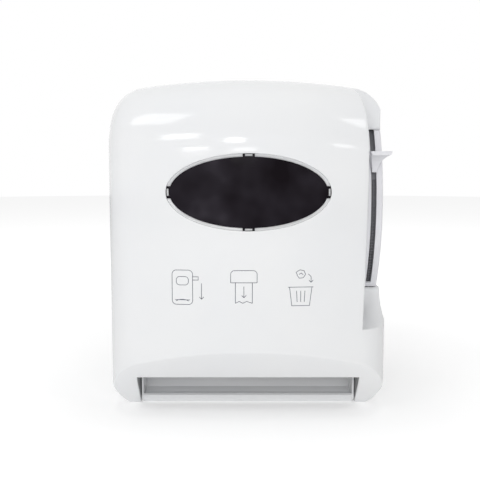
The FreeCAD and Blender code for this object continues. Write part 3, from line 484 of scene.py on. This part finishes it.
def profile(w):
    """(d, z) of the recess's concave foot and floor in side view, w along it from the mouth."""
    if w < SWEEP_LENGTH:
        angle = 0.5 * math.pi * w / SWEEP_LENGTH
        return (mouth_depth + (RECESS_BACK - mouth_depth) * math.sin(angle),
                RECESS_SWEEP - (RECESS_SWEEP - RECESS_FOOT) * math.cos(angle))
    z = RECESS_SWEEP + w - SWEEP_LENGTH
    share = min(1.0, max(0.0, (z - FLOOR_RISE[0]) / (FLOOR_RISE[1] - FLOOR_RISE[0])))
    return RECESS_BACK + (RECESS_FLOOR - RECESS_BACK) * share, z


def profile_w(z):
    """Inverse of profile for a height z."""
    if z < RECESS_SWEEP:
        cosine = (RECESS_SWEEP - z) / (RECESS_SWEEP - RECESS_FOOT)
        return SWEEP_LENGTH * math.acos(min(1.0, max(-1.0, cosine))) / (0.5 * math.pi)
    return SWEEP_LENGTH + z - RECESS_SWEEP


def recess_place(x, w):
    """Point of the recess's foot or floor."""
    d, z = profile(w)
    return Vector((x, d, z))


def opening_z(d):
    """Height of the arc over the lever housing, which the closing cover just clears."""
    return HINGE[1] + math.sqrt(OPENING_REACH ** 2 - (HINGE[0] - d) ** 2)


def cheek_back(z):
    """Depth of the rear edge of the outlet's side walls."""
    return HINGE[0] - math.sqrt(CHEEK_REACH ** 2 - (z - HINGE[1]) ** 2)


def chin_place(x, z):
    """Point of the sloping chin."""
    return Vector((x, (CHIN_TOP - z) / CHIN_SLOPE, z))


def back(p, distance):
    """The point p, moved to the back."""
    return Vector((p[0], p[1] + distance, p[2]))


def chin_arch():
    """(u, v) along the edge between the face and the chin, from the left foot to the right."""
    foot_u = depth_u(CHIN_TOP / CHIN_SLOPE)
    return [(u, CHIN_TOP - CHIN_SLOPE * form(u, 0.0).y) for u in spread(-foot_u, foot_u, 110)]


def recess_lines():
    """The recess's edge in three stretches of (u, v).

    They are the ledge from the side inwards, the rise beside the lever and the line on the crown.
    """
    top_w = profile_w(OPENING_FOOT)
    ledge = []
    for w in spread(top_w, 0.0, 30):
        d, z = profile(w)
        ledge.append((depth_u(d), z))
    levels = [profile(w)[1] for w in spread(0.0, SWEEP_LENGTH, 24)]
    levels += spread(RECESS_SWEEP, EASE_START, 14)[1:]
    levels += spread(EASE_START, FACE_END, 20)[1:]

    def edge_u(v):
        return bisect(lambda u: form(u, v).x - edge_x(form(u, v).z), LEFT_OF_RECESS, SIDE_START)

    top_v = bisect(lambda v: form(edge_u(v), v).y - RECESS_FLOOR, FACE_END, CROWN_END)
    levels += spread(FACE_END, top_v, 30)[1:]
    rise = [(edge_u(v), v) for v in levels]

    def crown_v(u):
        return bisect(lambda v: form(u, v).y - RECESS_FLOOR, FACE_END, CROWN_END)

    end_u = bisect(lambda u: form(u, crown_v(u)).x - LEVER_SIDE, ARC_START, SIDE_START)
    crown = [(u, crown_v(u)) for u in spread(rise[-1][0], end_u, 16)]
    return ledge, rise, crown


def side_outline(side):
    """(u, v) over the hinge disc, from the underside behind the hinge to the parting line."""
    disc_top = math.sqrt(DISC_R ** 2 - (HINGE[0] - PARTING) ** 2)
    start = -math.degrees(math.asin(HINGE[1] / DISC_R))
    end = 180 - math.degrees(math.asin(disc_top / DISC_R))
    arc = arc_points(*HINGE, DISC_R, start, end, 20)
    return [(side * (SIDE_START + d - SIDE_DEPTH), z) for d, z in arc]


def ellipse(rx, rz, count=128):
    """(x, z) of an oval about the window's middle."""
    turns = [2 * math.pi * i / count for i in range(count)]
    return [(rx * math.cos(a), WINDOW_Z + rz * math.sin(a)) for a in turns]


def cover_skin():
    """The whole outer surface of the cover."""
    skin = Skin()
    arch = chin_arch()
    ledge, rise, crown = recess_lines()
    depths = [min(RECESS_ROUND, SHALLOW_SHARE * (RECESS_FLOOR - form(u, v).y)) for u, v in rise]
    line = ledge + rise[1:] + crown[1:]
    radii = [RECESS_ROUND] * len(ledge) + depths[1:] + [RECESS_ROUND] * (len(crown) - 1)
    radii[len(ledge) + len(rise) - 2] = RECESS_CORNER_ROUND
    moved = offset(line, radii)
    moved[0] = (moved[0][0], line[0][1])
    side_foot = line[-1][1] + RECESS_ROUND
    moved[-1] = (step_u(side_foot), side_foot)

    # face, brow and crown with the sides below the brow
    chin_edge = offset(arch, CHIN_ROUND)
    chin_edge[0] = (arch[0][0] - CHIN_ROUND, 0.0)
    chin_edge[-1] = (arch[-1][0] + CHIN_ROUND, 0.0)
    outline = list(chin_edge)
    outline += side_outline(1)
    outline += [(SIDE_END, v) for v in spread(SIDE_LOW, OPENING_FOOT, 12)]
    outline += [(u, OPENING_FOOT) for u in spread(SIDE_END, moved[0][0], 8)[1:-1]]
    outline += moved
    outline += [(step_u(v), v) for v in spread(side_foot, CROWN_END, 10)[1:]]
    outline += [(u, CROWN_END) for u in spread(step_u(CROWN_END), -SIDE_START, 80)[1:]]
    outline += [(-SIDE_START, v) for v in spread(CROWN_END, FACE_END, 46)[1:]]
    outline += [(u, FACE_END) for u in spread(-SIDE_START, -SIDE_END, 20)[1:]]
    outline += [(-SIDE_END, v) for v in spread(FACE_END, SIDE_LOW, 50)[1:]]
    outline += list(reversed(side_outline(-1)))

    ring = ellipse(*RING)
    window = [face_uv(x, z) for x, z in offset(ring, -WINDOW_ROUND, closed=True)]
    lock = [crown_uv(LOCK_R * math.cos(a), LOCK_DEPTH + LOCK_R * math.sin(a))
            for a in spread(0, 2 * math.pi, 32)[:-1]]
    skin.fill(outline, [window, lock], form)

    # moat round the window: rounded edge, wall and seat
    start = [form(*uv) for uv in window]
    corner = [form(*face_uv(x, z)) for x, z in ring]
    end = [back(p, WINDOW_ROUND) for p in corner]
    skin.rounding(start, corner, end, closed=True)
    floor = [back(form(*face_uv(x, z)), SEAT_DEPTH) for x, z in ring]
    seat = [back(form(*face_uv(x, z)), SEAT_DEPTH) for x, z in ellipse(*SEAT)]
    skin.strip(end, floor, seat, closed=True)

    # left upper corner of the side plane
    contact = [form(-SIDE_START, v) for v in spread(FACE_END, CROWN_END, 46)]
    level = [form(u, FACE_END) for u in spread(-SIDE_END, -SIDE_START, 20)]
    skin.face(level + contact[1:])

    recess_skin(skin, line, moved, ledge, rise, crown, radii)
    chin_skin(skin, arch, chin_edge)
    return skin


def recess_skin(skin, line, moved, ledge, rise, crown, radii):
    """The recess: rounded edge, inner wall, concave foot, floor and the side over the opening."""
    start = [form(*uv) for uv in moved]
    corner = [form(*uv) for uv in line]
    first, second = len(ledge) - 1, len(ledge) + len(rise) - 2

    # the ledge and the crown line in the recess floor's own coordinates
    ledge_flat = [(p.x, profile_w(p.z)) for p in corner[:first + 1]]
    ledge_in = offset(ledge_flat, -RECESS_ROUND)
    ledge_in[0] = (HALF_WIDTH - RECESS_ROUND, ledge_flat[0][1])
    inner_w = bisect(lambda w: profile(w)[0] - mouth_depth - RECESS_ROUND, 0.0, 20.0)
    ledge_in[-1] = (ledge_flat[-1][0], inner_w)
    side_top = corner[-1].z
    side_low = opening_z(RECESS_FLOOR)
    drop = spread(side_top, side_low, 5)[1:]
    crown_flat = [(p.x, profile_w(p.z)) for p in corner[second:]]
    crown_flat += [(LEVER_SIDE, profile_w(z)) for z in drop]
    crown_in = offset(crown_flat, [-radii[second]] + [-RECESS_ROUND] * (len(crown_flat) - 1))
    crown_in[0] = (corner[second].x, crown_flat[0][1] - radii[second])

    end = [recess_place(*p) for p in ledge_in]
    end += [back(p, r) for p, r in zip(corner[first + 1:second], radii[first + 1:second])]
    end += [recess_place(*p) for p in crown_in[:len(crown)]]
    skin.rounding(start, corner, end)

    # the upright edge between the recess floor and the side, over the opening
    low_side = [Vector((LEVER_SIDE, RECESS_FLOOR, z)) for z in [side_top] + drop]
    side_start = [back(p, RECESS_ROUND) for p in low_side]
    side_start[0] = start[-1]
    side_end = [end[-1]] + [recess_place(*p) for p in crown_in[len(crown):]]
    skin.rounding(side_start, low_side, side_end)
    depths = spread(RECESS_FLOOR + RECESS_ROUND, PARTING, 16)
    arc = [Vector((LEVER_SIDE, d, opening_z(d))) for d in depths]
    contact = [form(step_u(v), v) for v in spread(moved[-1][1], CROWN_END, 10)]
    skin.face(side_start[:-1] + arc + list(reversed(contact[1:])))

    # the ledge under the lever housing, where the side steps in
    outer = [form(u, OPENING_FOOT) for u in spread(SIDE_END, moved[0][0], 8)]
    skin.strip(outer, [Vector((LEDGE_LEFT, p.y, p.z)) for p in outer])

    # inner wall
    wall_front = end[first:second + 1]
    wall_back = []
    for p in wall_front:
        d, _ = profile(profile_w(p.z))
        wall_back.append(Vector((edge_x(p.z), max(d, p.y), p.z)))
    wall_back[0] = wall_front[0]
    rows = [[a.lerp(b, t) for a, b in zip(wall_front, wall_back)] for t in spread(0, 1, 8)]
    skin.strip(*rows)

    # concave foot and floor, round the opening for the lever housing
    foot_w, top_w = profile_w(OPENING_FOOT), profile_w(side_low)
    outline = list(reversed(ledge_in))
    outline += [(x, foot_w) for x in spread(HALF_WIDTH - RECESS_ROUND, OPENING_LEFT, 8)[1:]]
    outline += [(OPENING_LEFT, w) for w in spread(foot_w, top_w, 40)[1:]]
    outline += [(x, top_w) for x in spread(OPENING_LEFT, LEVER_SIDE - RECESS_ROUND, 8)[1:-1]]
    outline += list(reversed(crown_in))
    outline += [(p.x, profile_w(p.z)) for p in reversed(wall_back[1:-1])]
    skin.fill(outline, [], recess_place)


def chin_skin(skin, arch, chin_edge):
    """Chin, feet, outlet lip and the outlet's side walls."""
    top = [(p.x, p.z) for p in (form(*uv) for uv in arch)]
    left = [(x, 0.0) for x in spread(-foot_x(0.0), -OUTLET_HALF, 4)[1:]]
    notch = [(-OUTLET_HALF, z) for z in spread(0, LIP_Z, 9)[1:]]
    notch += [(x, LIP_Z) for x in spread(-OUTLET_HALF, OUTLET_HALF, 60)[1:]]
    notch += [(OUTLET_HALF, z) for z in spread(LIP_Z, 0, 9)[1:]]
    right = [(x, 0.0) for x in spread(OUTLET_HALF, foot_x(0.0), 4)[1:]]
    loop = list(reversed(top)) + left + notch + right[:-1]
    inner = offset(loop, CHIN_ROUND / math.hypot(1, 1 / CHIN_SLOPE), closed=True)
    corner = [chin_place(*p) for p in loop]
    start = [back(p, CHIN_ROUND) for p in corner]
    start[:len(top)] = [form(*uv) for uv in reversed(chin_edge)]
    skin.rounding(start, corner, [chin_place(*p) for p in inner], closed=True)
    skin.fill(inner, [], chin_place)

    # underside of the lip
    lip = [p for p, (x, z) in zip(start, loop) if z == LIP_Z]
    skin.strip(lip, [Vector((p.x, LIP_BACK, LIP_Z)) for p in lip])
    for side in (-1, 1):
        # underside of the foot
        front = (CHIN_TOP / CHIN_SLOPE) + CHIN_ROUND
        xs = [side * x for x in spread(OUTLET_HALF, foot_x(0.0), 4)]
        skin.strip([Vector((x, front, 0)) for x in xs], [Vector((x, cheek_back(0), 0)) for x in xs])
        # side wall of the outlet
        wall = [(p.y, p.z) for p, (x, z) in zip(start, loop) if x == side * OUTLET_HALF]
        wall.sort(key=lambda p: p[1])
        wall += [(LIP_BACK, LIP_Z), (LIP_BACK, CHEEK_TOP)]
        wall += [(cheek_back(z), z) for z in spread(CHEEK_TOP, 0.0, 10)]
        skin.face([Vector((side * OUTLET_HALF, d, z)) for d, z in wall])


def hinge_ears():
    """Discs at both sides that the cover turns on, from their inner face out to the shell."""
    skin = Skin()
    radius = DISC_R - EAR_GAP
    low = bisect(lambda z: foot_x(z) - EAR_X, 0.0, FOOT_ROUND)
    first = -math.asin((HINGE[1] - low) / radius)
    turn = spread(first, math.pi - first, 72)
    rim = [(HINGE[0] + radius * math.cos(a), HINGE[1] + radius * math.sin(a)) for a in turn]
    rim += [(d, low) for d in spread(rim[-1][0], rim[0][0], 8)[1:-1]]
    turn = spread(0, 2 * math.pi, 24)[:-1]
    bore = [(HINGE[0] + PIN_R * math.cos(a), HINGE[1] + PIN_R * math.sin(a)) for a in turn]
    for side in (-1, 1):
        skin.fill(rim, [bore], lambda d, z: Vector((side * EAR_X, d, z)))
        inner = [Vector((side * EAR_X, d, z)) for d, z in rim]
        outer = [Vector((side * (foot_x(z) - EAR_INSET), d, z)) for d, z in rim]
        skin.strip(inner, outer, closed=True)
    return skin


cover = cover_skin().piece("front_cover_shell", outward=BEFORE_FACE, thickness=WALL)
ears = hinge_ears().piece("front_cover_hinge_ears", outward=BETWEEN_DISCS)
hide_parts("front_cover")
for piece in (cover, ears):
    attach(piece, "cover")


# ---------------------------------------------------------------- pictograms

# z of their foot, x of their middles, width and thickness of the lines, their longest stretch,
# and d of the point that they look to
PICTO_LOW = 124.0
PICTO_CENTRES = (-66.5, -5.0, 55.5)
PICTO_LINE = 0.62
PICTO_RELIEF = 0.02
PICTO_STEP = 2.5
PICTO_BEFORE = -500


def rounded_box(x0, z0, x1, z1, radius):
    """Closed line round a box with rounded corners."""
    corners = [(x1 - radius, z1 - radius, 0), (x0 + radius, z1 - radius, 90),
               (x0 + radius, z0 + radius, 180), (x1 - radius, z0 + radius, 270)]
    points = [p for x, z, a in corners for p in arc_points(x, z, radius, a, a + 90, 5)]
    return points + points[:1]


def arrow(x, top, low, barb=2.4):
    """Lines of an arrow that points down."""
    return [[(x, top), (x, low)], [(x - barb, low + barb), (x, low), (x + barb, low + barb)]]


def press_picto():
    """A dispenser from the front, its side lever and an arrow that points down beside it."""
    lines = [rounded_box(-15, 3, 7, 40, 4.5), rounded_box(-10.5, 24, 2.5, 33, 3.5)]
    lines += [[(-12, 8), (4, 8)], arc_points(-4, -6, 14.5, 62, 118, 10)]
    lines += [[(7, 33), (13, 33), (13, 29.5), (7, 29.5)]]
    return lines + arrow(16.5, 26, 9)


def pull_picto():
    """The lower end of a dispenser with a sheet hanging out, and an arrow that points down."""
    lines = [arc_points(-10, 36, 4, 180, 90, 6) + arc_points(10, 36, 4, 90, 0, 6)]
    lines += [[(-14, 36), (-14, 27)], [(14, 36), (14, 27)], [(-14, 27), (14, 27)]]
    lines += [[(-9, 27), (-9, 5)], [(-9, 5), (-5, 7), (-1, 5), (3, 7), (9, 5)], [(9, 5), (9, 27)]]
    return lines + arrow(0, 23, 11)


def dispose_picto():
    """A bin with a lid that stands open and a crumpled sheet above it."""
    lines = [[(-12, 22), (-9.5, 2), (9.5, 2), (12, 22)], [(-13.5, 22), (13.5, 22)]]
    lines += [[(-4.5, 18), (-3.8, 6)], [(4.5, 18), (3.8, 6)], [(0, 18), (0, 6)]]
    lines += [[(-3.5, 34), (-5, 38), (-1, 40.5), (3.5, 39.5), (5, 35.5), (2.5, 32), (-1.5, 31.5),
               (-3.5, 34)]]
    lines += [[(-2, 35.5), (0.5, 37), (2.5, 35)]]
    return lines + [[(8, 36), (11, 33), (11, 27)], [(8.8, 29.2), (11, 27), (13.2, 29.2)]]


def subdivided(points, step):
    """The same line, with points added where two are farther apart than step."""
    result = points[:1]
    for a, b in zip(points, points[1:]):
        count = max(1, math.ceil(math.dist(a, b) / step))
        result += list(zip(spread(a[0], b[0], count), spread(a[1], b[1], count)))[1:]
    return result


def pictogram(name, centre, lines):
    """Lines of ink on the face, as thin flat strips."""
    skin = Skin()
    for line in lines:
        closed = line[0] == line[-1]
        line = subdivided(line, PICTO_STEP)
        points = line[:-1] if closed else line
        rows = []
        for reach in (0.5 * PICTO_LINE, -0.5 * PICTO_LINE):
            places = [face_uv(centre + x, PICTO_LOW + z) for x, z in offset(points, reach, closed)]
            rows.append([form(*uv, sink=-PICTO_RELIEF) for uv in places])
        skin.strip(*rows, closed=closed)
    before = (centre, PICTO_BEFORE, PICTO_LOW + 20)
    obj = skin.piece(name, outward=before, thickness=PICTO_RELIEF, flat=True)
    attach(obj, "cover")
    return obj


prints = [pictogram("print_press", PICTO_CENTRES[0], press_picto()),
          pictogram("print_pull", PICTO_CENTRES[1], pull_picto()),
          pictogram("print_dispose", PICTO_CENTRES[2], dispose_picto())]


# ---------------------------------------------------------------- finishes

# values between which nearly all of a noise lies
NOISE_SPAN = (0.3, 0.7)


class Finish:
    """Node material that is built up from noise in the part's own coordinates, in metres."""

    def __init__(self, name):
        self.material = bpy.data.materials.new(name)
        self.material.use_nodes = True
        self.nodes = self.material.node_tree.nodes
        self.links = self.material.node_tree.links
        self.shader = self.nodes["Principled BSDF"]
        self.place = self.nodes.new("ShaderNodeTexCoord").outputs["Object"]
        self.relief = None

    def noise(self, scale, detail, rough=0.5, stretch=None):
        """Noise of about so many spots to the metre; stretch packs them closer along an axis."""
        place = self.place
        if stretch:
            mapping = self.nodes.new("ShaderNodeMapping")
            mapping.inputs["Scale"].default_value = stretch
            self.links.new(place, mapping.inputs["Vector"])
            place = mapping.outputs["Vector"]
        texture = self.nodes.new("ShaderNodeTexNoise")
        texture.inputs["Scale"].default_value = scale
        texture.inputs["Detail"].default_value = detail
        texture.inputs["Roughness"].default_value = rough
        self.links.new(place, texture.inputs["Vector"])
        return texture.outputs["Fac"]

    def cells(self, scale):
        """Grain of small cells, so many to the metre."""
        texture = self.nodes.new("ShaderNodeTexVoronoi")
        texture.inputs["Scale"].default_value = scale
        self.links.new(self.place, texture.inputs["Vector"])
        return texture.outputs["Distance"]

    def colour(self, source, *stops):
        """Base colour from a noise, by stops of (noise value, colour)."""
        ramp = self.nodes.new("ShaderNodeValToRGB")
        while len(ramp.color_ramp.elements) < len(stops):
            ramp.color_ramp.elements.new(0.5)
        for element, (value, rgb) in zip(ramp.color_ramp.elements, stops):
            element.position = value
            element.color = (*rgb, 1)
        self.links.new(source, ramp.inputs["Fac"])
        self.links.new(ramp.outputs["Color"], self.shader.inputs["Base Color"])

    def roughness(self, source, low, high):
        """Roughness that follows a noise between two values."""
        span = self.nodes.new("ShaderNodeMapRange")
        span.inputs["From Min"].default_value = NOISE_SPAN[0]
        span.inputs["From Max"].default_value = NOISE_SPAN[1]
        span.inputs["To Min"].default_value = low
        span.inputs["To Max"].default_value = high
        self.links.new(source, span.inputs["Value"])
        self.links.new(span.outputs["Result"], self.shader.inputs["Roughness"])

    def bump(self, source, height):
        """Relief of a height in millimetres, on top of the relief so far."""
        node = self.nodes.new("ShaderNodeBump")
        node.inputs["Distance"].default_value = height * MM
        node.inputs["Strength"].default_value = 1.0
        self.links.new(source, node.inputs["Height"])
        if self.relief:
            self.links.new(self.relief, node.inputs["Normal"])
        self.relief = node.outputs["Normal"]
        self.links.new(self.relief, self.shader.inputs["Normal"])

    def set(self, **values):
        """Constant shader inputs, with underscores for the spaces in their names."""
        for name, value in values.items():
            self.shader.inputs[name.replace("_", " ")].default_value = value


def white_abs():
    """Glossy moulded white ABS with a faint orange peel and slightly cloudy colour."""
    look = Finish("white_abs")
    look.colour(look.noise(9, 4), (0.3, (0.835, 0.845, 0.86)), (0.7, (0.865, 0.87, 0.875)))
    look.roughness(look.noise(55, 5), 0.07, 0.11)
    look.bump(look.noise(240, 2), 0.006)
    look.bump(look.noise(1900, 2), 0.0012)
    look.set(IOR=1.52)
    return look.material


def grey_abs():
    """Satin light grey ABS with a fine moulded grain."""
    look = Finish("grey_abs")
    look.colour(look.noise(16, 5), (0.3, (0.77, 0.77, 0.80)), (0.7, (0.82, 0.82, 0.85)))
    look.roughness(look.noise(90, 4), 0.30, 0.42)
    look.bump(look.cells(2600), 0.008)
    look.bump(look.noise(300, 3), 0.006)
    look.set(IOR=1.52)
    return look.material


def smoked_lens():
    """Polished polycarbonate with a dark smoke tint; the lighter clouds in its colour are painted
    light, the lit inside showing through the lens.
    """
    look = Finish("smoked_lens")
    # the darkest stop is the smoke tint itself; the lighter stops paint the light of the inside
    # seen through the lens
    look.colour(look.noise(22, 2), (0.35, (0.007, 0.005, 0.007)),
                (0.6, (0.020, 0.017, 0.022)), (0.8, (0.05, 0.045, 0.055)))
    look.roughness(look.noise(60, 4), 0.05, 0.11)
    look.bump(look.noise(120, 2), 0.004)
    look.set(IOR=1.58, Specular_IOR_Level=0.03)
    return look.material


def dark_strip():
    """Satin dark grey nylon with flow marks."""
    look = Finish("dark_strip")
    look.colour(look.noise(40, 5), (0.3, (0.115, 0.116, 0.127)), (0.7, (0.165, 0.166, 0.180)))
    look.roughness(look.noise(160, 4), 0.38, 0.52)
    look.bump(look.cells(3000), 0.008)
    look.set(IOR=1.53)
    return look.material


def gear_nylon():
    """Unpigmented acetal, cream and slightly waxy."""
    look = Finish("gear_nylon")
    look.colour(look.noise(30, 4), (0.3, (0.72, 0.69, 0.58)), (0.7, (0.80, 0.77, 0.67)))
    look.roughness(look.noise(120, 3), 0.28, 0.42)
    look.bump(look.noise(700, 3), 0.006)
    look.set(IOR=1.48)
    return look.material


def zinc_steel():
    """Zinc plated sheet and bar with a cloudy passivation and fine rolling lines."""
    look = Finish("zinc_steel")
    look.colour(look.noise(45, 6), (0.3, (0.52, 0.53, 0.56)), (0.7, (0.66, 0.67, 0.69)))
    look.roughness(look.noise(220, 5, stretch=(1, 1, 12)), 0.26, 0.44)
    look.bump(look.noise(900, 4, stretch=(1, 1, 10)), 0.003)
    look.set(Metallic=1.0)
    return look.material


def spring_steel():
    """Bright drawn wire with lengthwise draw marks."""
    look = Finish("spring_steel")
    look.colour(look.noise(120, 4), (0.3, (0.36, 0.37, 0.39)), (0.7, (0.50, 0.51, 0.53)))
    look.roughness(look.noise(500, 4), 0.22, 0.34)
    look.bump(look.noise(1500, 3), 0.002)
    look.set(Metallic=1.0)
    return look.material


def chrome_lock():
    """Polished nickel plate with fine handling scratches."""
    look = Finish("chrome_lock")
    look.colour(look.noise(60, 3), (0.3, (0.70, 0.70, 0.71)), (0.7, (0.78, 0.78, 0.78)))
    look.roughness(look.noise(700, 6, 0.7), 0.08, 0.20)
    look.bump(look.noise(1200, 5, stretch=(1, 6, 1)), 0.001)
    look.set(Metallic=1.0)
    return look.material


def roller_rubber():
    """Matt moulded rubber with a light bloom and a ground surface."""
    look = Finish("roller_rubber")
    look.colour(look.noise(70, 6), (0.3, (0.035, 0.035, 0.037)), (0.7, (0.065, 0.065, 0.067)))
    look.roughness(look.noise(200, 4), 0.62, 0.82)
    look.bump(look.noise(1600, 4, stretch=(8, 1, 1)), 0.02)
    look.set(IOR=1.5)
    return look.material


def print_ink():
    """Dark blue-grey pad print with a slightly uneven colour."""
    look = Finish("print_ink")
    look.colour(look.noise(900, 4), (0.25, (0.045, 0.055, 0.085)), (0.75, (0.09, 0.10, 0.14)))
    look.roughness(look.noise(500, 3), 0.32, 0.5)
    look.bump(look.noise(2500, 2), 0.004)
    return look.material


makers = (white_abs, grey_abs, smoked_lens, dark_strip, gear_nylon,
          zinc_steel, spring_steel, chrome_lock, roller_rubber)
finishes = {make.__name__: make() for make in makers}
for node in frame["nodes"].values():
    for place in node.material_slots:
        place.material = finishes[place.material.name.split(".")[0]]
for piece in (cover, ears):
    piece.data.materials.append(finishes["white_abs"])
ink = print_ink()
for piece in prints:
    piece.data.materials.append(ink)


# ---------------------------------------------------------------- stage, light and camera

# camera: lens and sensor in millimetres, its place in metres, and how many degrees it looks down
LENS = 53.25
SENSOR = 36.0
CAMERA = (-0.0091, -0.8986, 0.2733)
LOOK_DOWN = 5.9

# floor: glow towards the camera near and far, and the radii between which it rises;
# then the even glow that also lights the part from below, the radius and the drop
FLOOR_GLOW = (0.12, 0.42)
GLOW_REACH = (0.22, 0.9)
FLOOR_BOUNCE = 0.23
FLOOR_RADIUS = 6.0
FLOOR_DROP = 0.0003

# strength of the surroundings where they light the part
AMBIENT = 0.33

# room panels that the glossy brow mirrors as small bright patches: place, size and power
PANEL_TARGET = (0, -0.14, 0.3)
PANELS = (((-1.22, -1.31, 2.35), (0.85, 0.75), 5.5),
          ((-0.96, -2.41, 1.24), (0.55, 0.38), 3.0),
          ((-0.84, -3.06, 0.44), (0.42, 0.12), 0.9),
          ((-0.19, -3.07, 0.96), (0.34, 0.50), 2.8),
          ((-0.04, -3.16, 0.36), (0.42, 0.12), 0.8),
          ((1.57, -2.73, 0.75), (0.34, 0.26), 1.0),
          ((1.55, -1.28, 2.14), (0.45, 0.60), 2.6))

# soft lamps that aren't mirrored: name, place, target, size and power
SOFT_LAMPS = (("left", (-2.6, -0.9, 0.7), (0, 0, 0.2), (1.2, 1.2), 7),
              ("front", (0.0, -2.1, 0.85), (0, -0.1, 0.05), (1.6, 0.5), 11),
              ("top", (0.0, 0.2, 2.3), (0, 0, 0.2), (1.6, 1.2), 15))

# sockets of a colour mix node that share one name
COLOUR_A, COLOUR_B, COLOUR_RESULT = 6, 7, 2


def seen_rays(nodes, links, *kinds):
    """Socket that is 1 for the named kinds of ray and 0 for the others."""
    path = nodes.new("ShaderNodeLightPath")
    result = path.outputs[kinds[0]]
    for kind in kinds[1:]:
        either = nodes.new("ShaderNodeMath")
        either.operation = "MAXIMUM"
        links.new(result, either.inputs[0])
        links.new(path.outputs[kind], either.inputs[1])
        result = either.outputs[0]
    return result


def floor_white():
    """Matt white floor with a glow that grows outwards, so that it runs into the background."""
    made = bpy.data.materials.new("floor_white")
    made.use_nodes = True
    nodes, links = made.node_tree.nodes, made.node_tree.links
    shader = nodes["Principled BSDF"]
    shader.inputs["Roughness"].default_value = 0.9
    shader.inputs["Specular IOR Level"].default_value = 0.0
    grain = nodes.new("ShaderNodeTexNoise")
    grain.inputs["Scale"].default_value = 14
    tint = nodes.new("ShaderNodeMix")
    tint.data_type = "RGBA"
    tint.inputs[COLOUR_A].default_value = (0.80, 0.80, 0.80, 1)
    tint.inputs[COLOUR_B].default_value = (0.81, 0.81, 0.81, 1)
    links.new(grain.outputs["Fac"], tint.inputs[0])
    links.new(tint.outputs[COLOUR_RESULT], shader.inputs["Base Color"])
    place = nodes.new("ShaderNodeTexCoord")
    reach = nodes.new("ShaderNodeVectorMath")
    reach.operation = "LENGTH"
    links.new(place.outputs["Object"], reach.inputs[0])
    rise = nodes.new("ShaderNodeMapRange")
    for field, values in (("From", GLOW_REACH), ("To", FLOOR_GLOW)):
        for end, value in zip(("Min", "Max"), values):
            rise.inputs[f"{field} {end}"].default_value = value
    links.new(reach.outputs["Value"], rise.inputs["Value"])
    glow = nodes.new("ShaderNodeMath")
    glow.operation = "MULTIPLY"
    links.new(seen_rays(nodes, links, "Is Camera Ray", "Is Transmission Ray"), glow.inputs[0])
    links.new(rise.outputs["Result"], glow.inputs[1])
    shine = nodes.new("ShaderNodeMath")
    shine.inputs[1].default_value = FLOOR_BOUNCE
    links.new(glow.outputs[0], shine.inputs[0])
    shader.inputs["Emission Color"].default_value = (1, 1, 1, 1)
    links.new(shine.outputs[0], shader.inputs["Emission Strength"])
    return made


def floor():
    """Round floor just under the part."""
    mesh = bmesh.new()
    bmesh.ops.create_circle(mesh, cap_ends=True, radius=FLOOR_RADIUS, segments=96)
    obj = mesh_object("stage_floor", mesh)
    obj.location.z = -FLOOR_DROP
    obj.data.materials.append(floor_white())


def world():
    """Even surroundings, full white where they are seen or mirrored; AMBIENT lights the part."""
    made = bpy.data.worlds.new("room")
    made.use_nodes = True
    nodes, links = made.node_tree.nodes, made.node_tree.links
    background = nodes["Background"]
    background.inputs["Color"].default_value = (1, 1, 1, 1)
    strength = nodes.new("ShaderNodeMapRange")
    strength.inputs["To Min"].default_value = AMBIENT
    strength.inputs["To Max"].default_value = 1.0
    seen = seen_rays(nodes, links, "Is Camera Ray", "Is Glossy Ray", "Is Transmission Ray")
    links.new(seen, strength.inputs["Value"])
    links.new(strength.outputs["Result"], background.inputs["Strength"])
    bpy.context.scene.world = made


def lamp(name, place, target, size, power, mirrored=False):
    """Rectangular lamp of a power in watts, which glossy surfaces mirror or not."""
    data = bpy.data.lights.new(name, "AREA")
    data.shape = "RECTANGLE"
    data.size, data.size_y = size
    data.energy = power
    obj = bpy.data.objects.new(name, data)
    obj.location = place
    obj.visible_glossy = mirrored
    towards = Vector(target) - Vector(place)
    obj.rotation_euler = towards.to_track_quat("-Z", "Y").to_euler()
    bpy.context.scene.collection.objects.link(obj)


def camera():
    """The view from the front, a little left of the middle."""
    data = bpy.data.cameras.new("view")
    data.lens = LENS
    data.sensor_width = SENSOR
    obj = bpy.data.objects.new("view", data)
    obj.location = CAMERA
    obj.rotation_euler = (math.radians(90 - LOOK_DOWN), 0, 0)
    bpy.context.scene.collection.objects.link(obj)
    bpy.context.scene.camera = obj


floor()
world()
for number, (place, size, power) in enumerate(PANELS):
    lamp(f"panel_{number}", place, PANEL_TARGET, size, power, mirrored=True)
for name, place, target, size, power in SOFT_LAMPS:
    lamp(name, place, target, size, power)
camera()
bpy.context.scene.view_settings.view_transform = "Standard"

bpy.context.view_layer.update()
